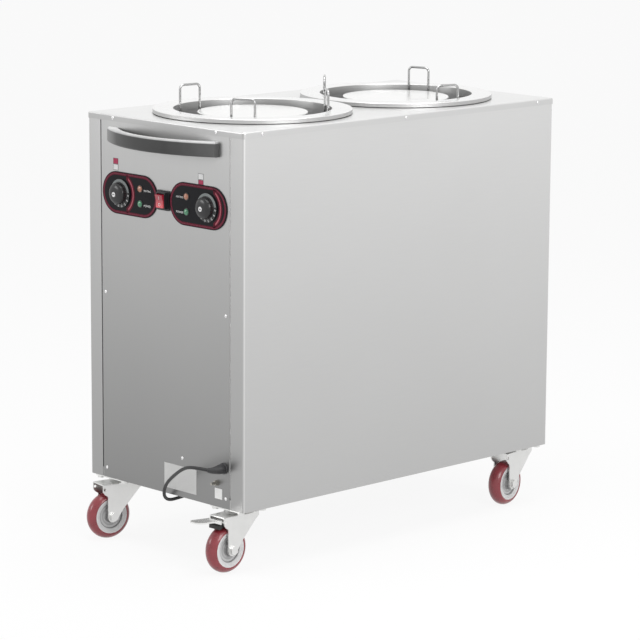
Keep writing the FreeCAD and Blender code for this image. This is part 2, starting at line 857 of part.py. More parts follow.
def make_push_handle():
    inner_half = handle_half_length - handle_foot_length
    inner_bow = handle_foot_depth + handle_bow - handle_thickness
    front = bowed_outline(handle_half_length, handle_foot_depth, handle_bow)
    back = bowed_outline(inner_half, 0, inner_bow)
    edges = [front, back]
    for side in (-1, 1):
        x = side * handle_half_length
        tip = Vector(x, face_y - handle_foot_depth, 0)
        heel = Vector(x, face_y, 0)
        toe = Vector(side * inner_half, face_y, 0)
        edges += [Part.LineSegment(tip, heel).toShape(), Part.LineSegment(heel, toe).toShape()]
    face = Part.Face(Part.Wire(Part.__sortEdges__(edges)))
    bar = face.extrude(Vector(0, 0, handle_height))
    bar.translate(Vector(0, 0, caster_height + handle_centre_height - handle_height / 2))
    long_arcs = []
    for edge in bar.Edges:
        if edge.Curve.TypeId == "Part::GeomCircle":
            if abs(edge.CenterOfMass.y - face_y) > handle_bow / 3:
                long_arcs.append(edge)
    return bar.makeFillet(handle_edge_radius, long_arcs)


def stadium(length, height, thickness, x, y, z):
    """Slab with round ends, its back at y, standing out towards -Y."""
    r = height / 2
    straight = length / 2 - r
    solids = [box(x - straight, x + straight, y - thickness, y, z - r, z + r)]
    for side in (-1, 1):
        solids.append(rod((x + side * straight, y, z), (x + side * straight, y - thickness, z), r))
    return joined(solids)


def make_control_fascia(side):
    """Fascia plate with its openings for the thermostat shaft and the two lamps."""
    x = side * fascia_centre_x
    plate = stadium(fascia_length, fascia_height, fascia_thickness, x, face_y, control_z)
    front = face_y - fascia_thickness
    y0 = face_y + overcut
    y1 = front - overcut
    cuts = [rod((side * knob_centre_x, y0, control_z), (side * knob_centre_x, y1, control_z),
                shaft_radius + cutout_clearance)]
    for offset in (-lamp_offset, lamp_offset):
        z = control_z + offset
        cuts.append(rod((side * lamp_centre_x, y0, z), (side * lamp_centre_x, y1, z),
                        lamp_stem_radius + cutout_clearance))
    rim = [edge for edge in plate.Edges
           if all(abs(v.Y - front) < 0.01 for v in edge.Vertexes)]
    return plate.makeFillet(fascia_thickness / 3, rim).cut(cuts)


def make_thermostat_knob(side):
    """Knob cap on its scale skirt, bored for the thermostat's shaft."""
    d0 = knob_gap
    d1 = d0 + knob_skirt_thickness
    depth = knob_gap + knob_depth
    profile = [
        (0, d0), (knob_skirt_radius, d0), (knob_skirt_radius, d0 + knob_skirt_thickness / 2),
        (knob_radius + knob_edge, d1), (knob_radius, d1 + knob_edge / 2),
        (knob_tip_radius, depth - knob_edge), (knob_tip_radius - knob_edge, depth), (0, depth)]
    seat = (side * knob_centre_x, face_y - fascia_thickness, control_z)
    knob = revolved(profile, seat, Y_AXIS * -1)
    bore_end = (seat[0], seat[1] - knob_gap - knob_bore_depth, seat[2])
    return knob.cut(rod(seat, bore_end, shaft_radius + running_clearance))


def make_thermostat_bodies():
    solids = []
    shaft_end = face_y - fascia_thickness - knob_gap - knob_bore_depth + seat_gap
    for side in (-1, 1):
        x = side * knob_centre_x
        half = thermostat_size / 2
        case = box(x - half, x + half, panel_back_y, panel_back_y + thermostat_depth,
                   control_z - half, control_z + half)
        case = case.makeFillet(thermostat_corner, edges_along(case, Y_AXIS))
        shaft = rod((x, panel_back_y + overcut, control_z), (x, shaft_end, control_z), shaft_radius)
        solids.append(joined([case, shaft]))
    return solids


def make_lamps(offset):
    """A pair of domed indicator lamps, one on each fascia, with their stems through the panel."""
    front = face_y - fascia_thickness
    lamps = []
    for side in (-1, 1):
        seat = (side * lamp_centre_x, front, control_z + offset)
        t = lamp_flange_thickness
        profile = [
            (0, 0), (lamp_flange_radius, 0), (lamp_flange_radius, t), (lamp_radius, t),
            (lamp_radius * 0.92, t + lamp_dome * 0.55), (lamp_radius * 0.6, t + lamp_dome * 0.9),
            (0, t + lamp_dome)]
        lens = revolved(profile, seat, Y_AXIS * -1)
        stem = rod(seat, (seat[0], front + lamp_stem_length, seat[2]), lamp_stem_radius)
        lamps.append(joined([lens, stem]))
    return group(lamps)


def make_switch_housing():
    """Black switch body: face plate, raised surround, pocket for the rocker and its pin holes."""
    hx = housing_plate_width / 2
    hz = housing_plate_height / 2
    plate = box(-hx, hx, face_y - housing_plate_thickness, face_y, control_z - hz, control_z + hz)
    plate = plate.makeFillet(housing_plate_corner, edges_along(plate, Y_AXIS))
    tx = housing_tower_width / 2
    tz = housing_tower_height / 2
    front = face_y - housing_tower_depth
    tower = box(-tx, tx, front, face_y + housing_back_depth, control_z - tz, control_z + tz)
    tower = tower.makeFillet(housing_tower_corner, edges_along(tower, Y_AXIS))
    px = tx - housing_wall
    pz = tz - housing_wall
    pocket = box(-px, px, front, front + housing_pocket_depth, control_z - pz, control_z + pz)
    pin_y = face_y - rocker_pivot_depth
    reach = px + rocker_pin_length
    pins = rod((-reach, pin_y, control_z), (reach, pin_y, control_z),
               rocker_pin_radius + running_clearance)
    return joined([plate, tower]).cut([pocket, pins])


def make_power_rocker():
    """Rocker with its lower half pressed in, on a pin that turns in the housing's walls."""
    half_x = housing_tower_width / 2 - housing_wall - rocker_side_gap
    half_z = rocker_height / 2
    pivot = Vector(0, face_y - rocker_pivot_depth, control_z)
    outline = [(rocker_back, -half_z), (rocker_back, half_z), (-rocker_crest, half_z),
               (-rocker_valley, 0), (-rocker_crest, -half_z)]
    points = [Vector(-half_x, y, z) for y, z in outline]
    cap = extruded(points, Vector(2 * half_x, 0, 0))
    reach = half_x + rocker_side_gap + rocker_pin_length - seat_gap
    rocker = joined([cap, rod((-reach, 0, 0), (reach, 0, 0), rocker_pin_radius)])
    rocker.rotate(Vector(0, 0, 0), X_AXIS, rocker_tilt)
    rocker.translate(pivot)
    return rocker


# ---------------------------------------------------------------- low on the front panel

def make_blank_plates():
    """Rating plate and small label, both without any text."""
    plates = []
    for x, z, width, height, thickness in (
            (half_width - rating_plate_inset_x, rating_plate_z, rating_plate_width,
             rating_plate_height, rating_plate_thickness),
            (half_width - small_label_inset_x, small_label_z, small_label_size, small_label_size,
             small_label_thickness)):
        middle = caster_height + z
        plates.append(box(x - width / 2, x + width / 2, face_y - thickness, face_y,
                          middle - height / 2, middle + height / 2))
    return group(plates)


def make_earth_terminal():
    """Threaded root through the panel, with a washer and a nut on each side, and its plain pin."""
    z = caster_height + earth_z
    t = earth_washer_thickness
    front = face_y - earth_stud_length
    shoulder = face_y - t - earth_nut_thickness - earth_root_end
    back = panel_back_y + earth_inner_length
    pin = rod((earth_x, front, z), (earth_x, shoulder + earth_root_end, z), earth_stud_radius)
    bore = rod((earth_x, shoulder, z), (earth_x, back, z), earth_root_radius)
    solids = [joined([pin, bore])]
    for seat_y, outward in ((face_y, Y_AXIS * -1), (panel_back_y, Y_AXIS)):
        end = seat_y + outward.y * t
        washer = rod((earth_x, seat_y, z), (earth_x, end, z), earth_washer_radius)
        nut = hexagon(earth_nut_width, earth_nut_thickness, (earth_x, end, z), outward)
        solids += [washer.cut(bore), nut.cut(bore)]
    return group(solids)


def make_terminal_block():
    sx, sy, sz = terminal_block_size
    z = caster_height + gland_z + terminal_block_above_gland
    x = gland_x - terminal_block_from_gland
    block = box(x - sx / 2, x + sx / 2, panel_back_y, panel_back_y + sy, z - sz / 2, z + sz / 2)
    ways = []
    for index in range(3):
        way_x = x + (index - 1) * terminal_pitch
        ways.append(rod((way_x, panel_back_y + sy - terminal_screw_depth, z),
                        (way_x, panel_back_y + sy, z), terminal_screw_radius))
    return block.cut(ways)


# ---------------------------------------------------------------- gland, cord and plug

def boot_tip():
    """Centre of the boot's end face and the direction in which the cord leaves it."""
    start = Vector(gland_x, face_y - gland_flange_thickness - gland_body_length,
                   caster_height + gland_z)
    roll = math.radians(boot_roll)
    bend = math.radians(boot_bend)
    sideways = Vector(-math.cos(roll), 0, math.sin(roll))
    outward = Y_AXIS * -1
    centre = start + sideways * boot_bend_radius
    middle = centre - sideways * (boot_bend_radius * math.cos(bend / 2)) \
        + outward * (boot_bend_radius * math.sin(bend / 2))
    tip = centre - sideways * (boot_bend_radius * math.cos(bend)) \
        + outward * (boot_bend_radius * math.sin(bend))
    direction = outward * math.cos(bend) + sideways * math.sin(bend)
    return start, middle, tip, direction


def make_cable_gland():
    """Gland through the panel with its lock nuts and a short bent boot around the cord's exit."""
    z = caster_height + gland_z
    seat = (gland_x, face_y, z)
    outward = Y_AXIS * -1
    t = gland_flange_thickness
    length = gland_body_length
    profile = [
        (0, 0), (gland_flange_radius, 0), (gland_flange_radius, t), (gland_body_radius, t),
        (gland_body_radius, t + length * 0.6), (boot_base_radius, t + length), (0, t + length)]
    body = revolved(profile, seat, outward)
    start, middle, tip, direction = boot_tip()
    path = Part.Wire(Part.Arc(start, middle, tip).toShape())
    base = Part.Wire(Part.makeCircle(boot_base_radius, start, outward))
    end = Part.Wire(Part.makeCircle(boot_tip_radius, tip, direction))
    boot = path.makePipeShell([base, end], True, False)
    stem = rod(seat, (gland_x, face_y + gland_stem_length, z), gland_stem_radius)
    nut = hexagon(gland_nut_radius * math.sqrt(3), gland_nut_thickness,
                  (gland_x, panel_back_y, z), Y_AXIS)
    return joined([body, boot, stem, nut])


def arc_toward(start, corner, end):
    """Arc from start to end that is tangent to the two equal lines meeting at corner."""
    middle = (start + end) * 0.5
    chord = end - start
    angle = (corner - start).getAngle(chord)
    outward = (corner - middle).normalize()
    return Part.Arc(start, middle + outward * (chord.Length / 2 * math.tan(angle / 2)), end).toShape()


def biarc(start, start_direction, end, end_direction):
    """Two arcs that join two points and keep the given directions at both."""
    chord = end - start
    total = start_direction + end_direction
    a = 2 * (1 - start_direction.dot(end_direction))
    b = 2 * chord.dot(total)
    c = -chord.dot(chord)
    reach = (-b + math.sqrt(b * b - 4 * a * c)) / (2 * a)
    first_corner = start + start_direction * reach
    last_corner = end - end_direction * reach
    joint = (first_corner + last_corner) * 0.5
    return [arc_toward(start, first_corner, joint), arc_toward(joint, last_corner, end)]


def rounded_route(points):
    """Straight runs joined by tangent arcs, each as large as its two runs allow."""
    edges = []
    radii = []
    here = points[0]
    for before, corner, after in zip(points, points[1:], points[2:]):
        into = (corner - before).normalize()
        away = (after - corner).normalize()
        half_turn = into.getAngle(away) / 2
        setback = arc_share * min((corner - before).Length, (after - corner).Length)
        radii.append(setback / math.tan(half_turn))
        first = corner - into * setback
        last = corner + away * setback
        edges.append(Part.LineSegment(here, first).toShape())
        edges.append(arc_toward(first, corner, last))
        here = last
    edges.append(Part.LineSegment(here, points[-1]).toShape())
    return Part.Wire(edges), radii


def swept_tube(path, start, direction, radius):
    section = Part.Wire(Part.makeCircle(radius, start, direction))
    return path.makePipeShell([section], True, False)


def coil_frames():
    """Points and directions along the coil, a quarter turn apart, spiralling in and out again."""
    layer_turn = 2 * math.pi * coil_turns_per_layer
    rate = coil_pitch / (2 * math.pi)
    outer = coil_mean_diameter / 2 + coil_turns_per_layer * coil_pitch / 2
    inner = outer - coil_turns_per_layer * coil_pitch
    centre_x = coil_outer_x - outer
    steps = int(coil_turns_per_layer * 8 + 2)
    frames = []
    for step in range(steps + 1):
        angle = step * math.pi / 2
        climb = angle - layer_turn - math.pi / 2
        if angle <= layer_turn:
            radius, slope, drop, fall = outer - rate * angle, -rate, 0.0, 0.0
        elif climb <= math.pi / 2:
            radius = inner + rate * (climb * climb / math.pi - math.pi / 4)
            slope = 2 * rate * climb / math.pi
            drop = coil_pitch * (1 + math.sin(climb)) / 2
            fall = coil_pitch * math.cos(climb) / 2
        else:
            radius, slope = inner + rate * (climb - math.pi / 2), rate
            drop, fall = coil_pitch, 0.0
        cos, sin = math.cos(angle), math.sin(angle)
        point = Vector(centre_x + radius * cos, coil_centre_y + radius * sin,
                       caster_height + coil_top_z - drop)
        direction = Vector(slope * cos - radius * sin, slope * sin + radius * cos, -fall)
        frames.append((point, direction.normalize()))
    return frames


def coil_ends():
    """Start and end of the coil's tube, each past a straight stretch, with its direction."""
    frames = coil_frames()
    first, first_direction = frames[0]
    last, last_direction = frames[-1]
    start = first - first_direction * cord_diameter
    end = last + last_direction * coil_end_run
    return (start, first_direction), (end, last_direction)


def least_self_gap(path, turn_length):
    """Smallest gap between parts of the tube that lie more than half a turn apart."""
    count = int(path.Length / 4)
    points = path.discretize(count)
    skip = int(turn_length / 2 / 4)
    least = path.Length
    for i, point in enumerate(points):
        for other in points[i + skip:]:
            least = min(least, point.distanceToPoint(other))
    return least - cord_diameter


def make_cord_coil():
    frames = coil_frames()
    (start, direction), (end, _end_direction) = coil_ends()
    edges = [Part.LineSegment(start, frames[0][0]).toShape()]
    for (p, p_direction), (q, q_direction) in zip(frames, frames[1:]):
        edges += biarc(p, p_direction, q, q_direction)
    edges.append(Part.LineSegment(frames[-1][0], end).toShape())
    path = Part.Wire(edges)
    inner_turn = math.pi * (coil_mean_diameter - coil_turns_per_layer * coil_pitch)
    coil = swept_tube(path, start, direction, cord_radius)
    ideal = path.Length * math.pi * cord_radius ** 2
    print("cord_coil: length %.1f, volume ratio %.5f, least self-gap %.2f"
          % (path.Length, coil.Volume / ideal, least_self_gap(path, inner_turn)))
    return coil


def lead_route():
    """Corners of the lead: out of the boot, over, down and under the edge to the coil's start."""
    _start, _middle, tip, _direction = boot_tip()
    (coil_start, direction), _end = coil_ends()
    points = [tip]
    stretch = (gland_x - coil_outer_x) / lead_span
    for x, y, z in lead_corners:
        points.append(Vector(coil_outer_x + x * stretch, y, caster_height + z))
    return points + [coil_start - direction * lead_last_run, coil_start]


def make_cord_lead():
    points = lead_route()
    path, radii = rounded_route(points)
    lead = swept_tube(path, points[0], points[1] - points[0], cord_radius)
    ideal = path.Length * math.pi * cord_radius ** 2
    print("cord_lead: length %.1f, volume ratio %.5f, radii %s"
          % (path.Length, lead.Volume / ideal, " ".join("%.0f" % r for r in radii)))
    return lead


def make_mains_plug():
    """Plug with its tapered neck, modelled along +Y and set on the coil's end."""
    neck = revolved([(0, 0), (cord_radius + plug_neck_wall, 0), (plug_neck_radius, plug_neck_length),
                     (0, plug_neck_length)], (0, 0, 0), Y_AXIS)
    y0 = plug_neck_length
    y1 = y0 + plug_length
    body = box(-plug_width / 2, plug_width / 2, y0, y1, -plug_height / 2, plug_height / 2)
    body = body.makeFillet(plug_edge_radius, edges_along(body, Y_AXIS))
    solids = [neck, body]
    for side in (-1, 1):
        x = side * plug_pin_spacing / 2
        solids.append(rod((x, y1 - overcut, 0), (x, y1 + plug_pin_length, 0), plug_pin_radius))
    plug = joined(solids)
    _start, (end, direction) = coil_ends()
    plug.Placement = FreeCAD.Placement(end, FreeCAD.Rotation(Y_AXIS, direction))
    return plug


def make_cord_hooks():
    """Three hooks that carry the coil from inside, and one bracket that carries the plug."""
    outer = coil_mean_diameter / 2 + coil_turns_per_layer * coil_pitch / 2
    centre_x = coil_outer_x - outer
    foot_top = caster_height + coil_top_z - coil_pitch - cord_radius - seat_gap
    top = caster_height
    half = hook_width / 2
    hooks = []
    for bearing in hook_bearings:
        lip = hook_foot_reach - hook_sheet
        hook = joined([
            box(0, hook_leg_reach + hook_sheet, -half, half, top - hook_sheet, top),
            box(hook_leg_reach, hook_leg_reach + hook_sheet, -half, half, foot_top - hook_sheet, top),
            box(hook_leg_reach, hook_foot_reach, -half, half, foot_top - hook_sheet, foot_top),
            box(lip, hook_foot_reach, -half, half, foot_top - hook_sheet, foot_top + hook_lip)])
        hooks.append(turned(hook, bearing, centre_x, coil_centre_y))
    hooks = [joined(hooks)]
    _start, (end, _direction) = coil_ends()
    rest_top = end.z - plug_height / 2 - seat_gap
    middle_y = end.y - plug_neck_length - plug_length / 2
    leg_x = end.x - plug_width / 2 - plug_side_room
    hooks.append(joined([
        box(leg_x - hook_sheet, leg_x, middle_y - half, middle_y + half, rest_top - hook_sheet, top),
        box(leg_x - hook_sheet, end.x, middle_y - half, middle_y + half, rest_top - hook_sheet,
            rest_top),
        box(leg_x - hook_width, leg_x, middle_y - half, middle_y + half, top - hook_sheet, top)]))
    return group(hooks)


# ---------------------------------------------------------------- casters

def set_caster(shape, name):
    """Move a piece from the caster's own frame, wheel trailing along +X, to its corner."""
    x, y = caster_places()[name]
    return turned(shape, caster_headings[name], x, y)


def make_caster_plates():
    """Top plates with the fixed half of the swivel bearing and its kingpin."""
    top = caster_height
    under = top - plate_sheet
    plates = []
    for x, y in caster_places().values():
        plate = rounded_box(x - plate_length / 2, x + plate_length / 2, y - plate_width / 2,
                            y + plate_width / 2, under, top, plate_corner_radius)
        plate = plate.cut(bolt_holes(under - overcut, top + overcut))
        crown_under = fork_crown_top - fork_dish_height - fork_sheet
        head_top = crown_under - seat_gap
        race_under = fork_crown_top + seat_gap
        profile = [
            (0, under + overcut), (race_radius, under + overcut), (race_radius, under - race_rim),
            (race_radius - race_taper, race_under), (kingpin_radius, race_under), (kingpin_radius, head_top),
            (kingpin_head_radius, head_top), (kingpin_head_radius, head_top - kingpin_head_height),
            (0, head_top - kingpin_head_height)]
        plates.append(joined([plate, revolved(profile, (x, y, 0))]))
    return group(plates)


def fork_side(v0, v1):
    """One cheek of the fork: deep at the crown, tapering down to a round foot at the axle."""
    top = fork_crown_top - fork_dish_height
    outline = [
        (fork_front_u, top), (fork_back_u, top), (fork_back_u, fork_crown_top - fork_skirt_drop),
        (fork_lip_u, fork_crown_top - fork_lip_drop),
        (caster_trail + fork_foot_radius, fork_crown_top - fork_leg_drop)]
    for degrees in range(0, -151, -30):
        angle = math.radians(degrees)
        outline.append((caster_trail + fork_foot_radius * math.cos(angle),
                        wheel_radius + fork_foot_radius * math.sin(angle)))
    outline += [
        (fork_shin_u, wheel_radius + fork_shin_rise), (fork_cheek_u, fork_crown_top - fork_cheek_drop),
        (fork_front_u, fork_crown_top - fork_brow_drop)]
    points = [Vector(u, v0, z) for u, z in outline]
    return extruded(points, Vector(0, v1 - v0, 0))


def make_caster_fork(name):
    """Stamped fork with its swivel dish, and the wheel's axle with a nut at each end."""
    half = fork_gap / 2
    top = fork_crown_top - fork_dish_height
    crown = box(fork_front_u, fork_back_u, -half - fork_sheet, half + fork_sheet, top - fork_sheet, top)
    dish = revolved([(0, top - overcut), (fork_crown_radius, top - overcut), (fork_crown_radius, top),
                     (fork_crown_radius - fork_dish_taper, fork_crown_top), (0, fork_crown_top)])
    fork = joined([crown, dish, fork_side(-half - fork_sheet, -half), fork_side(half, half + fork_sheet)])

    def on_fold(edge):
        point = edge.CenterOfMass
        return abs(point.z - top) < 0.01 and abs(abs(point.y) - half - fork_sheet) < 0.01

    fork = fork.makeFillet(fork_fold_radius, edges_along(fork, X_AXIS, on_fold))
    reach = half + fork_sheet
    far = reach + overcut
    fork = fork.cut([
        upright(0, 0, top - fork_sheet - overcut, fork_crown_top + overcut,
                kingpin_radius + running_clearance),
        rod((caster_trail, -far, wheel_radius), (caster_trail, far, wheel_radius),
            axle_radius + screw_clearance),
        rod((pedal_pin_u, -far, pedal_pin_z), (pedal_pin_u, far, pedal_pin_z),
            pedal_pin_radius + running_clearance)])
    axle = [rod((caster_trail, -reach, wheel_radius), (caster_trail, reach, wheel_radius), axle_radius)]
    for side in (-1, 1):
        axle.append(hexagon(axle_nut_width, axle_nut_thickness,
                            (caster_trail, side * reach, wheel_radius), Y_AXIS * side))
    return set_caster(group([fork, joined(axle)]), name)


def wheel_solid(profile, name):
    """Turn a (half-width, radius) outline about the wheel's axle."""
    points = [Vector(0, v, r) for v, r in profile]
    face = Part.Face(Part.makePolygon(points + points[:1]))
    wheel = face.revolve(Vector(0, 0, 0), Y_AXIS, 360)
    wheel.translate(Vector(caster_trail, 0, wheel_radius))
    return set_caster(wheel, name)


def make_tyre(name):
    """Rounded tread on the hub's rim."""
    half = wheel_width / 2
    left = Vector(0, -half, wheel_radius - tread_crown)
    right = Vector(0, half, wheel_radius - tread_crown)
    crown = Part.Arc(left, Vector(0, 0, wheel_radius), right).toShape()
    seat = half - hub_rim_inset
    inner_left = Vector(0, -seat, hub_radius)
    inner_right = Vector(0, seat, hub_radius)
    outline = Part.Wire([
        crown, Part.LineSegment(right, inner_right).toShape(),
        Part.LineSegment(inner_right, inner_left).toShape(),
        Part.LineSegment(inner_left, left).toShape()])
    tyre = Part.Face(outline).revolve(Vector(0, 0, 0), Y_AXIS, 360)
    tyre.translate(Vector(caster_trail, 0, wheel_radius))
    return set_caster(tyre, name)


def make_hub(name):
    """Stepped wheel centre with a boss that runs between the fork's cheeks."""
    face = hub_face_half_width
    web = face - hub_recess
    boss = fork_gap / 2 - seat_gap
    bore = axle_radius + running_clearance
    rim = wheel_width / 2 - hub_rim_inset
    half = [(boss, bore), (boss, hub_boss_radius), (web, hub_boss_radius + hub_step),
            (web, hub_recess_radius), (face, hub_recess_radius + hub_step),
            (rim, hub_radius - hub_rim_wall), (rim, hub_radius)]
    mirrored = [(-v, r) for v, r in reversed(half)]
    return wheel_solid(half + mirrored, name)


def make_brake_pedal(name):
    """Foot pedal on its cross pin, with the rubber brake shoe that hangs over the tread."""
    w = pedal_half_width
    u0 = pedal_pin_u - pedal_block_front
    u1 = pedal_pin_u + pedal_block_back
    z0 = pedal_pin_z - pedal_block_drop
    z1 = pedal_pin_z + pedal_block_rise
    outer = wheel_radius + brake_shoe_gap
    arch = rod((caster_trail, -w - overcut, wheel_radius), (caster_trail, w + overcut, wheel_radius), outer)
    block = box(u0, u1, -w, w, z0, z1).cut(arch)
    tip_centre = pedal_reach - w
    tongue = joined([box(pedal_pin_u, tip_centre, -w, w, z1 - pedal_sheet, z1),
                     upright(tip_centre, 0, z1 - pedal_sheet, z1, w)])
    tongue.rotate(Vector(pedal_pin_u, 0, pedal_pin_z), Y_AXIS, -pedal_rise)
    reach = fork_gap / 2 + fork_sheet
    pin = rod((pedal_pin_u, -reach, pedal_pin_z), (pedal_pin_u, reach, pedal_pin_z), pedal_pin_radius)
    pedal = joined([block, tongue, pin])
    side = w - brake_shoe_side_inset
    shoe = box(u0 + brake_shoe_front_inset, u1 + brake_shoe_back_overhang, -side, side, z0 - brake_shoe_drop,
               z0).cut(arch)
    return set_caster(group([pedal, shoe]), name)


# ---------------------------------------------------------------- the whole cart

def make_pieces():
    pieces = {
        "side_panel_left": make_side_panel(-1),
        "side_panel_right": make_side_panel(1),
        "front_panel": make_front_panel(),
        "rear_panel": make_end_panel(back_y, -1),
        "top_deck": make_top_deck(),
        "base_pan": make_base_pan(),
        "caster_fixings": group(make_mount_plates() + make_caster_bolts()),
        "cabinet_screws": make_screws(),
        "push_handle": make_push_handle(),
        "control_fascia_left": make_control_fascia(-1),
        "control_fascia_right": make_control_fascia(1),
        "thermostat_knob_left": make_thermostat_knob(-1),
        "thermostat_knob_right": make_thermostat_knob(1),
        "inner_electrics": group(make_thermostat_bodies() + [make_terminal_block()]),
        "lamps_amber": make_lamps(lamp_offset),
        "lamps_green": make_lamps(-lamp_offset),
        "switch_housing": make_switch_housing(),
        "power_rocker": make_power_rocker(),
        "blank_plates": make_blank_plates(),
        "earth_terminal": make_earth_terminal(),
        "cable_gland": make_cable_gland(),
        "cord_lead": make_cord_lead(),
        "cord_coil": make_cord_coil(),
        "mains_plug": make_mains_plug(),
        "cord_hooks": make_cord_hooks(),
        "caster_top_plates": make_caster_plates(),
    }
    for well, y in well_centres.items():
        pieces["well_ring_" + well] = make_well_ring(y)
        pieces["well_drum_" + well] = make_well_drum(well)
        pieces["well_brackets_" + well] = make_well_brackets(well)
        pieces["plate_platform_" + well] = make_plate_platform(y)
        pieces["lift_carriage_" + well] = make_lift_carriage(well)
        pieces["lift_springs_" + well] = make_lift_springs(well)
        pieces["heater_" + well] = make_heater(well)
        for key in guides_of(well):
            pieces["plate_guide_%s_%s" % (well, key)] = make_plate_guide(well, key)
    for name in caster_headings:
        pieces["caster_fork_" + name] = make_caster_fork(name)
        pieces["caster_tyre_" + name] = make_tyre(name)
        pieces["caster_hub_" + name] = make_hub(name)
    for name in braked_casters:
        pieces["brake_pedal_" + name] = make_brake_pedal(name)
    return pieces


def write_pieces():
    pieces = make_pieces()
    on_cord = ("cord_lead", "cord_coil", "mains_plug")
    bounds = FreeCAD.BoundBox()
    for name, shape in pieces.items():
        if name not in on_cord:
            bounds.add(shape.BoundBox)
    shift = Vector(0, -bounds.Center.y, 0)
    print("front face at y = %.3f" % shift.y)
    os.makedirs("parts", exist_ok=True)
    for name, shape in pieces.items():
        shape.translate(shift)
        if not shape.isValid():
            print("not valid:", name)
        shape.exportStep("parts/" + name + ".step")
    print("%d pieces" % len(pieces))


write_pieces()
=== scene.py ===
"""Looks of the plate dispenser cart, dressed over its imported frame. Metres, +Z up, controls to -Y."""
import json
import math

import bmesh
import bpy
from mathutils import Matrix, Vector

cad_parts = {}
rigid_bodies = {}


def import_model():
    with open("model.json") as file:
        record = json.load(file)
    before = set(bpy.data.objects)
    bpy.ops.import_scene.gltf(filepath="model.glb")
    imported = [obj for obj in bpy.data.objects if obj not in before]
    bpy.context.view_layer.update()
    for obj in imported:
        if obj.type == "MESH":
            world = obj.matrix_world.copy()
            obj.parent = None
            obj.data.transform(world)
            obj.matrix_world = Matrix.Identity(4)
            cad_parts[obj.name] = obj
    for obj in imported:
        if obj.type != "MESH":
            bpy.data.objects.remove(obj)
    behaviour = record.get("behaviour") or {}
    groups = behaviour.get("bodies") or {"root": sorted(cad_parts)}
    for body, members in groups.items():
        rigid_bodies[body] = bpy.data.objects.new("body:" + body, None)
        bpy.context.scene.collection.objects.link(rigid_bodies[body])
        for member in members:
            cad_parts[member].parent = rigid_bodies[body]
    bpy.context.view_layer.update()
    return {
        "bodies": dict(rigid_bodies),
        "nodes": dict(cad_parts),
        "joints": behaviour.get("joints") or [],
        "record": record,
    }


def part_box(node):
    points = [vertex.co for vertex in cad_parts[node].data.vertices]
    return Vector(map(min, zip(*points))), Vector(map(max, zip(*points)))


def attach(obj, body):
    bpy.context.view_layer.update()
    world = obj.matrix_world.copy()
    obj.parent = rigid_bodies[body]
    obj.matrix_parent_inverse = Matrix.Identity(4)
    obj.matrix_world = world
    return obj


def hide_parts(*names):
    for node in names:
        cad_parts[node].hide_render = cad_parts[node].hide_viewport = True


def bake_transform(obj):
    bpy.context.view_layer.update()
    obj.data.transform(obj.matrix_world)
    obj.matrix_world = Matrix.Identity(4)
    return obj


MM = 0.001
FRONT_EDGE = Vector((0.0, -417.019, 134.0))  # cabinet's front bottom edge, mm
CASTERS = ("front_left", "front_right", "rear_left", "rear_right")
WELLS = ("front", "rear")
UP = Vector((0, 0, 1))
TO_FRONT = Vector((0, -1, 0))
CONTROL_Z = 749.0  # middle of the controls, mm
EDGE = FRONT_EDGE * MM


# ------------------------------------------------------------------ finishes

class Shade:
    """A shader socket that takes part in arithmetic; each operation adds one Math node."""

    def __init__(self, finish, socket):
        self.finish = finish
        self.socket = socket

    def math(self, operation, *others):
        values = dict(enumerate((self,) + others))
        return self.finish.node("ShaderNodeMath", {"operation": operation}, values)

    def flipped(self, operation, first):
        values = {0: first, 1: self}
        return self.finish.node("ShaderNodeMath", {"operation": operation}, values)

    def __add__(self, other):
        return self.math("ADD", other)

    def __sub__(self, other):
        return self.math("SUBTRACT", other)

    def __mul__(self, other):
        return self.math("MULTIPLY", other)

    def __pow__(self, other):
        return self.math("POWER", other)

    def __lt__(self, other):
        return self.math("LESS_THAN", other)

    def __gt__(self, other):
        return self.math("GREATER_THAN", other)

    def __abs__(self):
        return self.math("ABSOLUTE")

    def __radd__(self, other):
        return self.flipped("ADD", other)

    def __rsub__(self, other):
        return self.flipped("SUBTRACT", other)


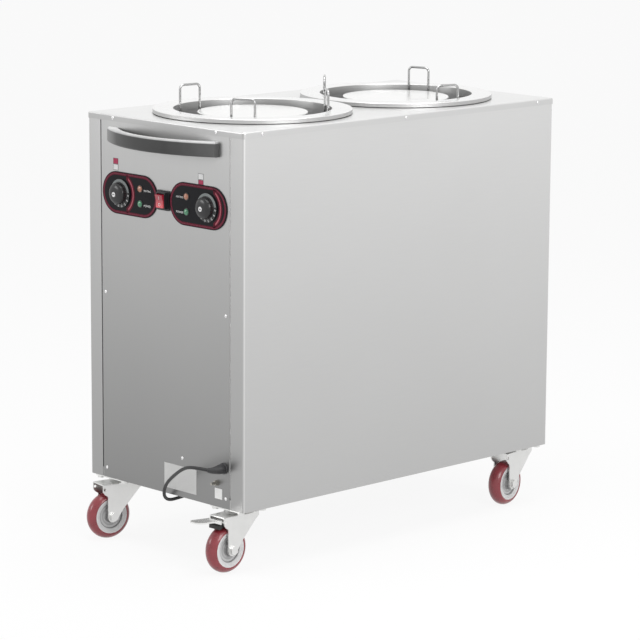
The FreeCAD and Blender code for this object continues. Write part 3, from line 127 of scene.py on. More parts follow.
class Finish:
    """One material: a Principled shader and the nodes that vary it over a surface."""

    def __init__(self, name, **fixed):
        self.material = bpy.data.materials.new(name)
        self.material.use_nodes = True
        self.tree = self.material.node_tree
        self.shader = self.tree.nodes["Principled BSDF"]
        for socket, value in fixed.items():
            self.set(socket.replace("_", " "), value)

    def set(self, socket, value):
        """Give a number, a colour or a link to one of the shader's sockets."""
        self.fill(self.shader.inputs[socket], value)
        return self

    def fill(self, socket, value):
        if isinstance(value, Shade):
            self.tree.links.new(value.socket, socket)
        elif isinstance(value, tuple) and len(value) == 3 and socket.type == "RGBA":
            socket.default_value = value + (1.0,)
        else:
            socket.default_value = value

    def node(self, kind, settings=None, sockets=None, output=0):
        """Add a node: its settings first, then the values or links of its sockets."""
        made = self.tree.nodes.new(kind)
        for key, value in (settings or {}).items():
            if key == "stops":
                self.set_stops(made.color_ramp, value)
            else:
                setattr(made, key, value)
        for key, value in (sockets or {}).items():
            self.fill(made.inputs[key], value)
        return Shade(self, made.outputs[output])

    def set_stops(self, ramp, stops):
        while len(ramp.elements) < len(stops):
            ramp.elements.new(1.0)
        for element, (position, level) in zip(ramp.elements, stops):
            element.position = position
            element.color = (level, level, level, 1.0)

    def place(self, scale=(1.0, 1.0, 1.0)):
        """Object coordinates, stretched by scale."""
        here = self.node("ShaderNodeTexCoord", output="Object")
        return self.node("ShaderNodeVectorMath", {"operation": "MULTIPLY"}, {0: here, 1: scale})

    def along(self, axis):
        """One Object coordinate."""
        here = self.node("ShaderNodeTexCoord", output="Object")
        return self.node("ShaderNodeSeparateXYZ", None, {0: here}, axis.upper())

    def reach(self, origin, direction):
        """How far a point lies from an origin along a direction."""
        here = self.node("ShaderNodeTexCoord", output="Object")
        offset = self.node("ShaderNodeVectorMath", {"operation": "SUBTRACT"}, {0: here, 1: origin})
        settings = {"operation": "DOT_PRODUCT"}
        return self.node("ShaderNodeVectorMath", settings, {0: offset, 1: direction}, "Value")

    def ramp(self, value, start, end, first, last):
        """A number that goes from first to last while value goes from start to end."""
        sockets = {"Value": value, "From Min": start, "From Max": end, "To Min": first, "To Max": last}
        return self.node("ShaderNodeMapRange", None, sockets)

    def noise(self, scale, detail=3.0, stretch=(1.0, 1.0, 1.0)):
        """Noise from 0 to 1 with the given number of features per metre."""
        sockets = {"Vector": self.place(stretch), "Scale": scale, "Detail": detail}
        return self.node("ShaderNodeTexNoise", None, sockets)

    def blend(self, amount, first, second):
        """A colour between first and second."""
        sockets = {"Factor": amount, 6: first, 7: second}
        settings = {"data_type": "RGBA"}
        return self.node("ShaderNodeMix", settings, sockets, 2)

    def mottled(self, amount, colour, low, high):
        """One colour, from low to high times as bright."""
        return self.blend(amount, tinted(colour, low), tinted(colour, high))

    def scaled(self, colour, level):
        """A colour made darker or lighter."""
        return self.node("ShaderNodeVectorMath", {"operation": "SCALE"}, {0: colour, "Scale": level})

    def relief(self, height, depth, strength=1.0):
        """Bump of the given depth in metres."""
        sockets = {"Height": height, "Distance": depth, "Strength": strength}
        return self.set("Normal", self.node("ShaderNodeBump", None, sockets))


STEEL = (0.95, 0.95, 0.945)
CABINET_MIDDLE_Y = 0.043
CABINET_FOOT = 0.134
DECK_TOP = 0.91
FLAT_DECK = (0.9070, 0.9095)
RING_TOP = 0.920
SEAM_INNER_X = 0.1985
SEAM_GAP = 0.003
FOLD = (0.4545, 0.4575)
FLANGE_BEND = (0.4560, 0.4595)
BLACK = (0.010, 0.010, 0.012)
HANDLE_TOP = 0.885
MAROON = (0.125, 0.009, 0.026)
CORD_BLACK = (0.016, 0.016, 0.017)
PIN_BRASS = (0.70, 0.64, 0.48)
AXLE = Vector((0.038, 0, 0.050))  # from a caster's own frame
SHOE_TOP = 0.1078
PLUG_FACE = 0.052
# Painted shade of the hubs: levels of the rings round the axle, darkest in the grooves.
HUB_RING_SHADES = ((0.0, 0.42), (0.24, 0.45), (0.27, 0.16), (0.31, 0.52), (0.40, 0.36), (0.44, 0.56),
             (0.50, 0.50), (0.525, 0.14), (0.56, 0.66), (0.74, 0.72), (0.80, 0.55))
CASTER_X = 183.0
CASTER_Y = {"front": 42.0, "rear": 878.0}
CASTER_HEADINGS = {"front_left": 260.5, "front_right": 271.4, "rear_left": 270.0, "rear_right": 278.3}


def tinted(colour, factor):
    return tuple(min(1.0, channel * factor) for channel in colour)


def brushed_steel(name, roughness, grain, level_at, grain_depth=0.00002):
    """Satin sheet: fine straight scratches along one axis and faint cloudy patches of wear."""
    finish = Finish(name, Metallic=1.0)
    stretch = tuple(1.0 if axis == grain else 60.0 for axis in "xyz")
    scratches = finish.noise(14.0, 4.0, stretch)
    patches = finish.noise(3.5, 2.0)
    grey = finish.mottled(scratches * 0.6 + patches * 0.4, STEEL, 0.95, 1.05)
    # The level scales the grey: painted light and shade of each face.
    finish.set("Base Color", finish.scaled(grey, level_at(finish)))
    finish.set("Roughness", roughness - 0.06 + scratches * 0.08 + patches * 0.04)
    return finish.relief(scratches, grain_depth, 0.35)


def between(finish, value, low, high, soft):
    """One from low to high, and nothing past a soft edge on both sides."""
    return finish.ramp(value, low - soft, low, 0.0, 1.0) * finish.ramp(value, high, high + soft, 1.0, 0.0)


def painted_shade_up_the_panel(finish, low, high):
    """Painted shade: a level that grows from the foot of the panels to their top, darker towards the floor.
    """
    return finish.ramp(finish.along("z"), CABINET_FOOT, DECK_TOP, low, high)


def end_level(finish):
    """Steel of the two ends, painted a level darker than the sides and in painted shade dimmer towards the
    floor, with a painted highlight on the edge at the right seam.
    """
    # Painted highlight on the panel edges inside the right seam.
    painted_edge_highlight = finish.along("x") > SEAM_INNER_X - 0.0001
    return painted_shade_up_the_panel(finish, 0.275, 0.525) + painted_edge_highlight * 0.40


def side_level(finish):
    """Steel of the sides, in painted shade dimmer towards the floor and a little brighter towards the rear;
    their folded returns are painted at a level close to the ends', with painted highlights along the corner
    bend and in the right seam.
    """
    side = painted_shade_up_the_panel(finish, 0.525, 0.725)
    side = side * finish.ramp(finish.along("y"), -0.41, 0.50, 1.0, 1.06)
    from_middle = abs(finish.along("y") - CABINET_MIDDLE_Y)
    fold = finish.ramp(from_middle, *FOLD, 0.0, 1.0)
    # Painted highlights: a bright line along each corner bend and on the floor of the right seam.
    bend = between(finish, from_middle, 0.4552, 0.4572, 0.0012)
    painted_seam_highlight = between(finish, finish.along("x"), SEAM_INNER_X, SEAM_INNER_X + SEAM_GAP, 0.0002)
    level = side * (1.0 - fold) + painted_shade_up_the_panel(finish, 0.375, 0.55) * fold
    return level + bend * 0.16 + painted_seam_highlight * 0.70


def deck_level(finish):
    """Painted light by face: a bright top over a flange painted to match the panels under it, brighter along
    the sides than at the ends.
    """
    flat = finish.ramp(finish.along("z"), *FLAT_DECK, 0.0, 1.0)
    from_middle = abs(finish.along("y") - CABINET_MIDDLE_Y)
    flange = finish.ramp(from_middle, *FLANGE_BEND, 0.71, 0.48)
    return flat * 0.78 + (1.0 - flat) * flange


def even_level(level):
    return lambda finish: level


def spun_steel(name, colour, roughness, centre, rim=1.0, rim_top=0.0):
    """Sheet spun in circles round an upright line; below rim_top its level changes to rim, painted shade on
    the ring's upright outer rim.
    """
    finish = Finish(name, Metallic=1.0)
    here = finish.node("ShaderNodeTexCoord", output="Object")
    offset = finish.node("ShaderNodeVectorMath", {"operation": "SUBTRACT"}, {0: here, 1: centre})
    flat = finish.node("ShaderNodeVectorMath", {"operation": "MULTIPLY"}, {0: offset, 1: (1.0, 1.0, 0.0)})
    reach = finish.node("ShaderNodeVectorMath", {"operation": "LENGTH"}, {0: flat}, "Value")
    rings = finish.node("ShaderNodeTexNoise", {"noise_dimensions": "1D"},
                        {"W": reach, "Scale": 900.0, "Detail": 2.0})
    patches = finish.noise(9.0, 2.0)
    grey = finish.mottled(rings * 0.5 + patches * 0.5, colour, 0.96, 1.04)
    # Painted shade: the upright outer rim below rim_top darker than the top.
    below = finish.ramp(finish.along("z"), rim_top - 0.0010, rim_top - 0.0003, 1.0, 0.0)
    finish.set("Base Color", finish.scaled(grey, 1.0 - below * (1.0 - rim)))
    finish.set("Roughness", roughness - 0.04 + rings * 0.06 + patches * 0.04 + below * (1.0 - rim) * 0.4)
    return finish.relief(rings, 0.00001, 0.3)


def zinc_plate(name, colour, roughness):
    """Bright zinc on pressed steel, with soft clouds and fine pitting."""
    finish = Finish(name, Metallic=1.0)
    clouds = finish.noise(35.0, 3.0)
    pits = finish.noise(900.0, 2.0)
    finish.set("Base Color", finish.mottled(clouds, colour, 0.90, 1.06))
    finish.set("Roughness", roughness - 0.05 + clouds * 0.14)
    return finish.relief(pits, 0.00001, 0.2)


def drawn_wire(name, colour, roughness):
    """Polished wire with faint lengthways drawing marks."""
    finish = Finish(name, Metallic=1.0)
    marks = finish.noise(700.0, 2.0, (1.0, 1.0, 0.05))
    smears = finish.noise(30.0, 2.0)
    finish.set("Base Color", finish.mottled(smears, colour, 0.92, 1.05))
    finish.set("Roughness", roughness + marks * 0.08)
    return finish.relief(marks, 0.00001, 0.3)


def moulded_plastic(name, colour, roughness, grain_size=1400.0, grain_depth=0.00004):
    """Moulded plastic with a fine spark-eroded grain and slight handling shine."""
    finish = Finish(name)
    grain = finish.noise(grain_size, 2.0)
    shine = finish.noise(20.0, 2.0)
    finish.set("Base Color", finish.mottled(shine, colour, 0.88, 1.12))
    finish.set("Roughness", roughness - 0.05 + shine * 0.10)
    return finish.relief(grain, grain_depth, 0.4)


def handle_plastic(name):
    """Black grip with a painted highlight along its top edge and painted reflection towards its two ends,
    more to the left.
    """
    finish = Finish(name)
    across = finish.along("x")
    # Painted highlight along the top edge.
    top = finish.ramp(finish.along("z"), HANDLE_TOP - 0.0042, HANDLE_TOP - 0.0026, 0.0, 0.40)
    # Painted reflection, paler towards the ends and more on the left.
    ends = finish.ramp(across, -0.100, -0.160, 0.0, 0.17) + finish.ramp(across, 0.060, 0.165, 0.0, 0.06)
    mottle = finish.noise(45.0, 3.0)
    finish.set("Base Color", finish.scaled((1.0, 1.0, 1.0), (0.026 + top + ends) * (0.80 + mottle * 0.4)))
    finish.set("Roughness", 0.30 + mottle * 0.12)
    return finish.relief(finish.noise(900.0, 2.0), 0.00004, 0.4)


def printed_film(name, colour, roughness=0.25):
    """Screen-printed film, nearly smooth, with faint orange peel."""
    finish = Finish(name, Specular_IOR_Level=0.12)
    peel = finish.noise(250.0, 2.0)
    finish.set("Base Color", finish.mottled(peel, colour, 0.96, 1.04))
    finish.set("Roughness", roughness + peel * 0.06)
    return finish.relief(peel, 0.00001, 0.3)


def lens_plastic(name, colour):
    """Coloured clear plastic, deeper towards its cloudy middle."""
    finish = Finish(name, Coat_Weight=0.6)
    depth = finish.noise(160.0, 2.0)
    finish.set("Base Color", finish.mottled(depth, colour, 0.75, 1.2))
    finish.set("Roughness", 0.12 + depth * 0.10)
    return finish


def tread_compound(name, colour):
    """Glossy cast polyurethane tread with faint streaks round the wheel and scuffed ground."""
    finish = Finish(name, Coat_Weight=0.4)
    streaks = finish.noise(60.0, 3.0)
    scuffs = finish.noise(420.0, 3.0)
    finish.set("Base Color", finish.mottled(streaks, colour, 0.75, 1.3))
    finish.set("Roughness", 0.20 + streaks * 0.10 + scuffs * 0.08)
    return finish.relief(scuffs, 0.00005, 0.3)


def cord_sheath(name, colour):
    """Satin rubber sheath, slightly dusty."""
    finish = Finish(name)
    dust = finish.noise(120.0, 3.0)
    grain = finish.noise(1800.0, 2.0)
    finish.set("Base Color", finish.mottled(dust, colour, 0.8, 1.5))
    finish.set("Roughness", 0.42 + dust * 0.16)
    return finish.relief(grain, 0.00003, 0.4)


def plug_rubber(name, colour, end, away):
    """Cord rubber with fine grain; past the plug's face its pins are nickel-plated brass."""
    finish = Finish(name)
    dust = finish.noise(120.0, 3.0)
    pins = finish.reach(end, away) > PLUG_FACE
    rubber = finish.mottled(dust, colour, 0.8, 1.5)
    finish.set("Base Color", finish.blend(pins, rubber, PIN_BRASS))
    finish.set("Metallic", pins)
    finish.set("Roughness", 0.50 + dust * 0.10 - pins * 0.28)
    return finish.relief(finish.noise(1800.0, 2.0), 0.00003, 0.4)


def pedal_zinc(name, colour):
    """Bright zinc with, under the pedal's block, the black rubber of the brake shoe."""
    finish = Finish(name)
    clouds = finish.noise(35.0, 3.0)
    rubber = finish.along("z") < SHOE_TOP
    zinc = finish.mottled(clouds, colour, 0.90, 1.06)
    finish.set("Base Color", finish.blend(rubber, zinc, (0.02, 0.02, 0.02)))
    finish.set("Metallic", 1.0 - rubber)
    finish.set("Roughness", 0.20 + clouds * 0.12 + rubber * 0.35)
    return finish.relief(finish.noise(900.0, 2.0), 0.00001, 0.2)


def hub_plastic(name, frame):
    """Pale wheel centre in rings of painted shade round the axle, darkest in its grooves."""
    finish = Finish(name, Coat_Weight=0.2)
    axle = frame @ AXLE
    along = finish.reach(axle, frame.to_3x3() @ Vector((1, 0, 0)))
    up = finish.reach(axle, UP)
    distance = (along * along + up * up) ** 0.5
    # Painted shade: pale and dark rings round the axle from the listed stops.
    rings = finish.node("ShaderNodeValToRGB", {"stops": HUB_RING_SHADES}, {0: distance * 20.0})
    smears = finish.noise(60.0, 3.0)
    finish.set("Base Color", finish.scaled(rings, 0.92 + smears * 0.14))
    finish.set("Roughness", 0.26 + smears * 0.14)
    return finish.relief(finish.noise(1100.0, 2.0), 0.00003, 0.3)


def rocker_plastic(name):
    """Translucent red, painted brighter in its lower half as a highlight."""
    finish = Finish(name, Coat_Weight=0.6)
    # Painted highlight: the lower half a brighter red.
    low = finish.ramp(finish.along("z"), CONTROL_Z * MM - 0.012, CONTROL_Z * MM + 0.004, 1.0, 0.0)
    cloud = finish.noise(160.0, 2.0)
    finish.set("Base Color", finish.blend(low, (0.36, 0.016, 0.035), (0.78, 0.10, 0.12)))
    finish.set("Roughness", 0.12 + cloud * 0.08)
    return finish


def dull_label(name, colour):
    """Blank foil, paler on the small label than on the rating plate."""
    finish = Finish(name)
    peel = finish.noise(250.0, 2.0)
    level = finish.ramp(finish.along("x"), 0.10, 0.12, 0.70, 1.0)
    foil = finish.mottled(peel, colour, 0.96, 1.04)
    finish.set("Base Color", finish.scaled(foil, level))
    finish.set("Roughness", 0.36 + peel * 0.08)
    return finish.relief(peel, 0.00001, 0.3)


def caster_frame(name):
    """A caster's own frame on the floor under its swivel: X along its trail, Z up."""
    x = CASTER_X if name.endswith("right") else -CASTER_X
    y = CASTER_Y[name.split("_")[0]]
    turn = Matrix.Rotation(math.radians(CASTER_HEADINGS[name]), 4, "Z")
    return Matrix.Translation(Vector((x, FRONT_EDGE.y + y, 0)) * MM) @ turn


def make_finishes():
    well = {name: sum(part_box("well_ring_" + name), Vector()) / 2 for name in WELLS}
    made = {
        # Side, end and deck are the same steel at painted levels of light and shade.
        "side": brushed_steel("steel_side", 0.36, "y", side_level),
        "end": brushed_steel("steel_end", 0.36, "z", end_level),
        "deck": brushed_steel("steel_deck", 0.34, "y", deck_level),
        "pan": brushed_steel("steel_pan", 0.40, "y", even_level(0.55)),
        "screw": zinc_plate("steel_screw", (0.80, 0.80, 0.80), 0.22),
        "zinc": zinc_plate("zinc_bright", (0.76, 0.76, 0.75), 0.36),
        "wire": drawn_wire("wire_chrome", (0.42, 0.42, 0.42), 0.14),
        "spring": drawn_wire("spring_wire", (0.42, 0.42, 0.43), 0.30),
        "heater": zinc_plate("heater_sheath", (0.26, 0.25, 0.24), 0.45),
        "handle": handle_plastic("handle_black"),
        "fascia": printed_film("fascia_black", BLACK, 0.16),
        "print_maroon": printed_film("print_maroon", MAROON),
        "print_pink": printed_film("print_pink", (0.42, 0.11, 0.14)),
        "print_line": printed_film("print_line", (0.24, 0.075, 0.10)),
        "print_white": printed_film("print_white", (0.80, 0.80, 0.80)),
        "print_field": printed_film("print_field", (0.10, 0.006, 0.018)),
        "print_red": printed_film("print_red", (0.45, 0.06, 0.12)),
        # Painted reflection: the silver band on the knob skirts.
        "print_silver": printed_film("print_silver", (0.26, 0.28, 0.28)),
        "knob": moulded_plastic("knob_black", (0.014, 0.014, 0.015), 0.22, 1200.0, 0.00001),
        "housing": moulded_plastic("housing_black", (0.016, 0.016, 0.018), 0.34),
        "rocker": rocker_plastic("rocker_red"),
        "amber": lens_plastic("lens_amber", (0.42, 0.17, 0.10)),
        "green": lens_plastic("lens_green", (0.05, 0.25, 0.12)),
        "label": dull_label("label_blank", (0.88, 0.88, 0.87)),
        "gland": moulded_plastic("gland_black", (0.030, 0.030, 0.032), 0.42),
        "cord": cord_sheath("cord_rubber", CORD_BLACK),
        "block": moulded_plastic("terminal_white", (0.70, 0.69, 0.65), 0.40),
        "tread": tread_compound("tread_maroon", (0.250, 0.030, 0.040)),
        "pedal": pedal_zinc("zinc_pedal", (0.83, 0.83, 0.82)),
        "earth": zinc_plate("earth_zinc", (0.36, 0.35, 0.32), 0.30),
    }
    for name in CASTERS:
        made["hub_" + name] = hub_plastic("hub_grey_" + name, caster_frame(name))
    for name in WELLS:
        # Each ring's upright rim is painted in shade at 0.58 of its top's level.
        made["ring_" + name] = spun_steel("steel_ring_" + name, (0.84, 0.84, 0.835), 0.26, well[name],
                                          0.58, RING_TOP)
        made["drum_" + name] = spun_steel("steel_drum_" + name, (0.52, 0.52, 0.52), 0.50, well[name])
        made["platform_" + name] = spun_steel("steel_platform_" + name, (0.90, 0.90, 0.89), 0.22, well[name])
    return {key: finish.material for key, finish in made.items()}


NODE_FINISH = {
    "side_panel_left": "side", "side_panel_right": "side", "front_panel": "end", "rear_panel": "end",
    "top_deck": "deck", "base_pan": "pan", "caster_fixings": "zinc", "inner_electrics": "block",
    "cabinet_screws": "screw", "push_handle": "handle", "control_fascia_left": "fascia",
    "control_fascia_right": "fascia", "thermostat_knob_left": "knob", "thermostat_knob_right": "knob",
    "lamps_amber": "amber", "lamps_green": "green",
    "switch_housing": "housing", "power_rocker": "rocker", "blank_plates": "label",
    "earth_terminal": "earth", "cable_gland": "gland", "cord_lead": "cord",
    "cord_coil": "cord", "mains_plug": "plug", "cord_hooks": "pan", "caster_top_plates": "zinc",
}
FINISH_BY_START = {  # the star stands for the rest of the node's name
    "caster_fork_": "zinc", "caster_tyre_": "tread", "brake_pedal_": "pedal", "plate_guide_": "wire",
    "lift_springs_": "spring", "heater_": "heater", "caster_hub_": "hub_*", "well_ring_": "ring_*",
    "plate_platform_": "platform_*", "well_drum_": "drum_*", "lift_carriage_": "drum_*",
    "well_brackets_": "drum_*",
}


def node_finish(name):
    """Which finish a CAD node takes: by its own name, or by what it is and where it is."""
    if name in NODE_FINISH:
        return NODE_FINISH[name]
    for start, finish in FINISH_BY_START.items():
        if name.startswith(start):
            return finish.replace("*", name[len(start):])
    raise ValueError(name)


EDGE_ANGLE = 32


def dress_nodes(nodes, finishes):
    """Paint every CAD node, and shade its curves smoothly between its real edges."""
    for name, node in nodes.items():
        node.data.materials.clear()
        node.data.materials.append(finishes[node_finish(name)])
        node.data.polygons.foreach_set("use_smooth", [True] * len(node.data.polygons))
        weld = node.modifiers.new("weld", "WELD")
        weld.merge_threshold = 0.00001
        split = node.modifiers.new("edges", "EDGE_SPLIT")
        split.split_angle = math.radians(EDGE_ANGLE)


# ------------------------------------------------------------------ camera and cord

CAMERA_LENS = 168.99
CAMERA_PLACE = (4.5924, -4.4078, 1.6627)
CAMERA_TURN = 45.984
CAMERA_DIP = 10.818
CAMERA_ROLL = 0.332


def in_scene(name, data):
    """A new object of the scene with this data."""
    thing = bpy.data.objects.new(name, data)
    bpy.context.scene.collection.objects.link(thing)
    return thing


def make_camera():
    """A long lens to the right of the control end, from above."""
    data = bpy.data.cameras.new("camera")
    data.lens = CAMERA_LENS
    data.clip_end = 50.0
    camera = in_scene("camera", data)
    turn = Matrix.Rotation(math.radians(CAMERA_TURN), 4, "Z")
    tilt = Matrix.Rotation(math.radians(90 - CAMERA_DIP), 4, "X")
    roll = Matrix.Rotation(math.radians(CAMERA_ROLL), 4, "Z")
    camera.matrix_world = Matrix.Translation(CAMERA_PLACE) @ turn @ tilt @ roll
    bpy.context.scene.camera = camera


CORD_DIAMETER = 0.007
BOOT_START = Vector((0.182, -0.0225, 0.084))
BOOT_TIP = Vector((0.1765, -0.03857, 0.0860))
LEAD_CORNERS = [
    (0.1680, -0.0493, 0.0891), (0.1548, -0.0563, 0.0900), (0.1400, -0.0574, 0.0882),
    (0.1214, -0.0532, 0.0820), (0.0953, -0.0466, 0.0688), (0.0576, -0.0342, 0.0458),
    (0.0326, -0.0246, 0.0282), (0.0175, -0.0175, 0.0095), (0.0091, -0.0085, -0.0070),
    (0.0055, 0.0080, -0.0165), (0.0055, 0.0360, -0.0155), (0.0071, 0.0800, -0.0112),
]
COIL_CENTRE = Vector((-0.0457, 0.175, -0.010))
COIL_OUTER = 0.0522
COIL_PITCH = 0.0078
COIL_LAYER_TURNS = 3
COIL_END_RUN = 0.034
LEAD_LAST_RUN = 0.038


def coil_point(angle):
    """Middle of the cord at an angle along the coil: in, down a layer, and out again."""
    layer = 2 * math.pi * COIL_LAYER_TURNS
    rate = COIL_PITCH / (2 * math.pi)
    inner = COIL_OUTER - COIL_LAYER_TURNS * COIL_PITCH
    climb = angle - layer - math.pi / 2
    if angle <= layer:
        radius, drop = COIL_OUTER - rate * angle, 0.0
    elif climb <= math.pi / 2:
        radius = inner + rate * (climb * climb / math.pi - math.pi / 4)
        drop = COIL_PITCH * (1 + math.sin(climb)) / 2
    else:
        radius, drop = inner + rate * (climb - math.pi / 2), COIL_PITCH
    return COIL_CENTRE + Vector((radius * math.cos(angle), radius * math.sin(angle), -drop))


def cord_points():
    """The lead's listed corners, then the coil's turns, sixteen points to a turn."""
    step = math.pi / 8
    turns = 2 * COIL_LAYER_TURNS + 0.5
    coil = [coil_point(index * step) for index in range(int(turns * 16) + 1)]
    rate = COIL_PITCH / (2 * math.pi)
    into = Vector((-rate, COIL_OUTER, 0)).normalized()
    away = (coil[-1] - coil_point((turns - 0.001) * 2 * math.pi)).normalized()
    points = [BOOT_TIP] + [Vector(corner) for corner in LEAD_CORNERS]
    points += [coil[0] - into * LEAD_LAST_RUN] + coil + [coil[-1] + away * COIL_END_RUN]
    return [EDGE + point for point in points]


def make_cord(finishes):
    """The whole mains lead: out of the boot, down the front and coiled under the cabinet."""
    data = bpy.data.curves.new("mains_cord", "CURVE")
    data.dimensions = "3D"
    spline = data.splines.new("NURBS")
    points = cord_points()
    spline.points.add(len(points) - 1)
    for point, place in zip(spline.points, points):
        point.co = (*place, 1.0)
    spline.order_u = 3
    spline.use_endpoint_u = True
    data.resolution_u = 6
    data.bevel_depth = CORD_DIAMETER / 2
    data.bevel_resolution = 5
    cord = in_scene("mains_cord", data)
    data.materials.append(finishes["cord"])
    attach(cord, "cabinet")
    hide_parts("cord_lead", "cord_coil")
    return cord, points


# ------------------------------------------------------------------ modelling

def facing(seat, outward):
    """A frame at seat whose Z points outward and whose Y points up, for work that is made lying flat."""
    z = Vector(outward).normalized()
    x = UP.cross(z).normalized()
    return Matrix.Translation(seat) @ Matrix((x, z.cross(x), z)).transposed().to_4x4()


def nothing_selected():
    bpy.ops.object.select_all(action="DESELECT")


def select_only(*pieces):
    """Select these pieces, the first of them active."""
    nothing_selected()
    for piece in pieces:
        piece.select_set(True)
    bpy.context.view_layer.objects.active = pieces[0]


def begin(name):
    """Name the primitive that was just added and open all of it for editing."""
    piece = bpy.context.object
    piece.name = name
    piece.data.name = name
    bpy.ops.object.mode_set(mode="EDIT")
    bpy.ops.mesh.select_mode(type="FACE")
    bpy.ops.mesh.select_all(action="SELECT")
    return piece


def select(piece, kind, keep):
    """Select the vertices, edges or faces that keep() accepts, and nothing else."""
    bpy.ops.mesh.select_mode(type=kind)
    bpy.ops.mesh.select_all(action="DESELECT")
    mesh = bmesh.from_edit_mesh(piece.data)
    elements = {"VERT": mesh.verts, "EDGE": mesh.edges, "FACE": mesh.faces}[kind]
    for element in elements:
        if keep(element):
            element.select_set(True)
    mesh.select_flush_mode()
    bmesh.update_edit_mesh(piece.data)


def finish_edit(piece, place=None, closed=True, smooth=None):
    """Close the edit, move the piece to its place and put that place into its mesh."""
    if closed:
        bpy.ops.mesh.select_all(action="SELECT")
        bpy.ops.mesh.normals_make_consistent(inside=False)
    bpy.ops.object.mode_set(mode="OBJECT")
    if place is not None:
        piece.matrix_world = place @ piece.matrix_world
    bpy.ops.object.transform_apply(location=True, rotation=True, scale=True)
    if smooth is not None:
        bpy.ops.object.shade_smooth_by_angle(angle=math.radians(smooth))
    return piece


def modified(piece, kind, **settings):
    """Give a piece a modifier with these settings and apply it."""
    modifier = piece.modifiers.new(kind.lower(), kind)
    for key, value in settings.items():
        setattr(modifier, key, value)
    select_only(piece)
    bpy.ops.object.modifier_apply(modifier=modifier.name)
    return piece


def joined(pieces, name):
    """One piece made of several."""
    select_only(*pieces)
    bpy.ops.object.join()
    pieces[0].name = name
    pieces[0].data.name = name
    return pieces[0]


def copied(piece, name, place):
    """A copy with its own mesh, moved by place."""
    copy = in_scene(name, piece.data.copy())
    copy.data.name = name
    copy.data.transform(place)
    return copy


def dressed(piece, finish, body="cabinet"):
    """Give a piece its finish and let it move with a body."""
    if finish is not None:
        piece.data.materials.clear()
        piece.data.materials.append(finish)
    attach(piece, body)
    return piece


def turned(name, profile, place, sides=64, smooth=40):
    """A disc extruded and resized ring by ring along a (radius, height) profile in millimetres."""
    nothing_selected()
    radius, height = profile[0]
    bpy.ops.mesh.primitive_circle_add(vertices=sides, radius=radius * MM, fill_type="NGON")
    piece = begin(name)
    bpy.ops.transform.translate(value=(0, 0, height * MM))
    for next_radius, next_height in profile[1:]:
        rise = (0, 0, (next_height - height) * MM)
        bpy.ops.mesh.extrude_region_move(TRANSFORM_OT_translate={"value": rise})
        ratio = next_radius / radius
        bpy.ops.transform.resize(value=(ratio, ratio, 1), center_override=(0, 0, next_height * MM))
        radius, height = next_radius, next_height
    return finish_edit(piece, place, smooth=smooth)


def flat_ring(name, radius, width, half_straight=0.0, sides=96):
    """A flat ring on XY in millimetres; half_straight draws it out along X into a long one."""
    nothing_selected()
    bpy.ops.mesh.primitive_circle_add(vertices=sides, radius=radius * MM, fill_type="NGON")
    piece = begin(name)
    for side in (-1, 1):
        select(piece, "VERT", lambda vert: vert.co.x * side > MM * 0.01)
        bpy.ops.transform.translate(value=(side * half_straight * MM, 0, 0))
    bpy.ops.mesh.select_mode(type="FACE")
    bpy.ops.mesh.select_all(action="SELECT")
    if width < radius:
        bpy.ops.mesh.inset(thickness=width * MM, use_even_offset=True)
        bpy.ops.mesh.delete(type="FACE")
    return piece


PRINT_LIFT = 0.12
WORD_LIFT = 0.08


def printed(piece, place, lift=PRINT_LIFT, over=0.0):
    """Close a flat shape and give it the thickness of a print, over the print under it."""
    finish_edit(piece, Matrix.Translation((0, 0, over * MM)), closed=False)
    modified(piece, "SOLIDIFY", thickness=lift * MM, offset=1.0)
    piece.data.transform(place)
    return piece


def word(name, text, width, place, finish, body="cabinet"):
    """A short word as a raised print, width millimetres long, centred on its place."""
    nothing_selected()
    bpy.ops.object.text_add()
    piece = bpy.context.object
    piece.name = name
    piece.data.body = text
    piece.data.align_x = "CENTER"
    piece.data.align_y = "CENTER"
    piece.data.resolution_u = 3
    bpy.context.view_layer.update()
    piece.data.size = width * MM / piece.dimensions.x
    piece.data.extrude = WORD_LIFT * MM
    bpy.ops.object.convert(target="MESH")
    piece = bpy.context.object
    piece.data.name = name
    piece.data.transform(place @ Matrix.Translation((0, 0, WORD_LIFT * MM)))
    return dressed(piece, finish, body)


# ------------------------------------------------------------------ screws

SCREW_HEAD = [(3.6, 0.0), (3.6, 0.5), (3.3, 0.95), (2.7, 1.3), (1.8, 1.52), (0.9, 1.6)]
DECK_SCREW_Z = 903.5
SIDE_SCREW_Y = (51.5, 460.0, 868.5)
END_SCREW_X = 187.5
END_SCREW_Z = (155.0, 534.0)
DECK_SCREW_X = 159.6
LENGTH = 920.0
WIDTH = 484.0
PANEL_INSET = 1.5
FIRST_SCREW = (54.0, PANEL_INSET, 217.0)
SCREW_TOP = 1.6
RECESS = (0.75, 3.6, 1.7)  # width, length and height of each arm's cutter


def screw_seats():
    """Seat in millimetres from the cabinet's front face, and outward direction, of every screw."""
    seats = [(FIRST_SCREW, TO_FRONT)]
    for end, outward, panel in ((0.0, TO_FRONT, PANEL_INSET), (LENGTH, -TO_FRONT, LENGTH - PANEL_INSET)):
        for side in (-1, 1):
            seats.append(((side * DECK_SCREW_X, end, DECK_SCREW_Z), outward))
            for height in END_SCREW_Z:
                seats.append(((side * END_SCREW_X, panel, height), outward))
    for side in (-1, 1):
        for y in SIDE_SCREW_Y:
            seats.append(((side * WIDTH / 2, y, DECK_SCREW_Z), Vector((side, 0, 0))))
    return seats


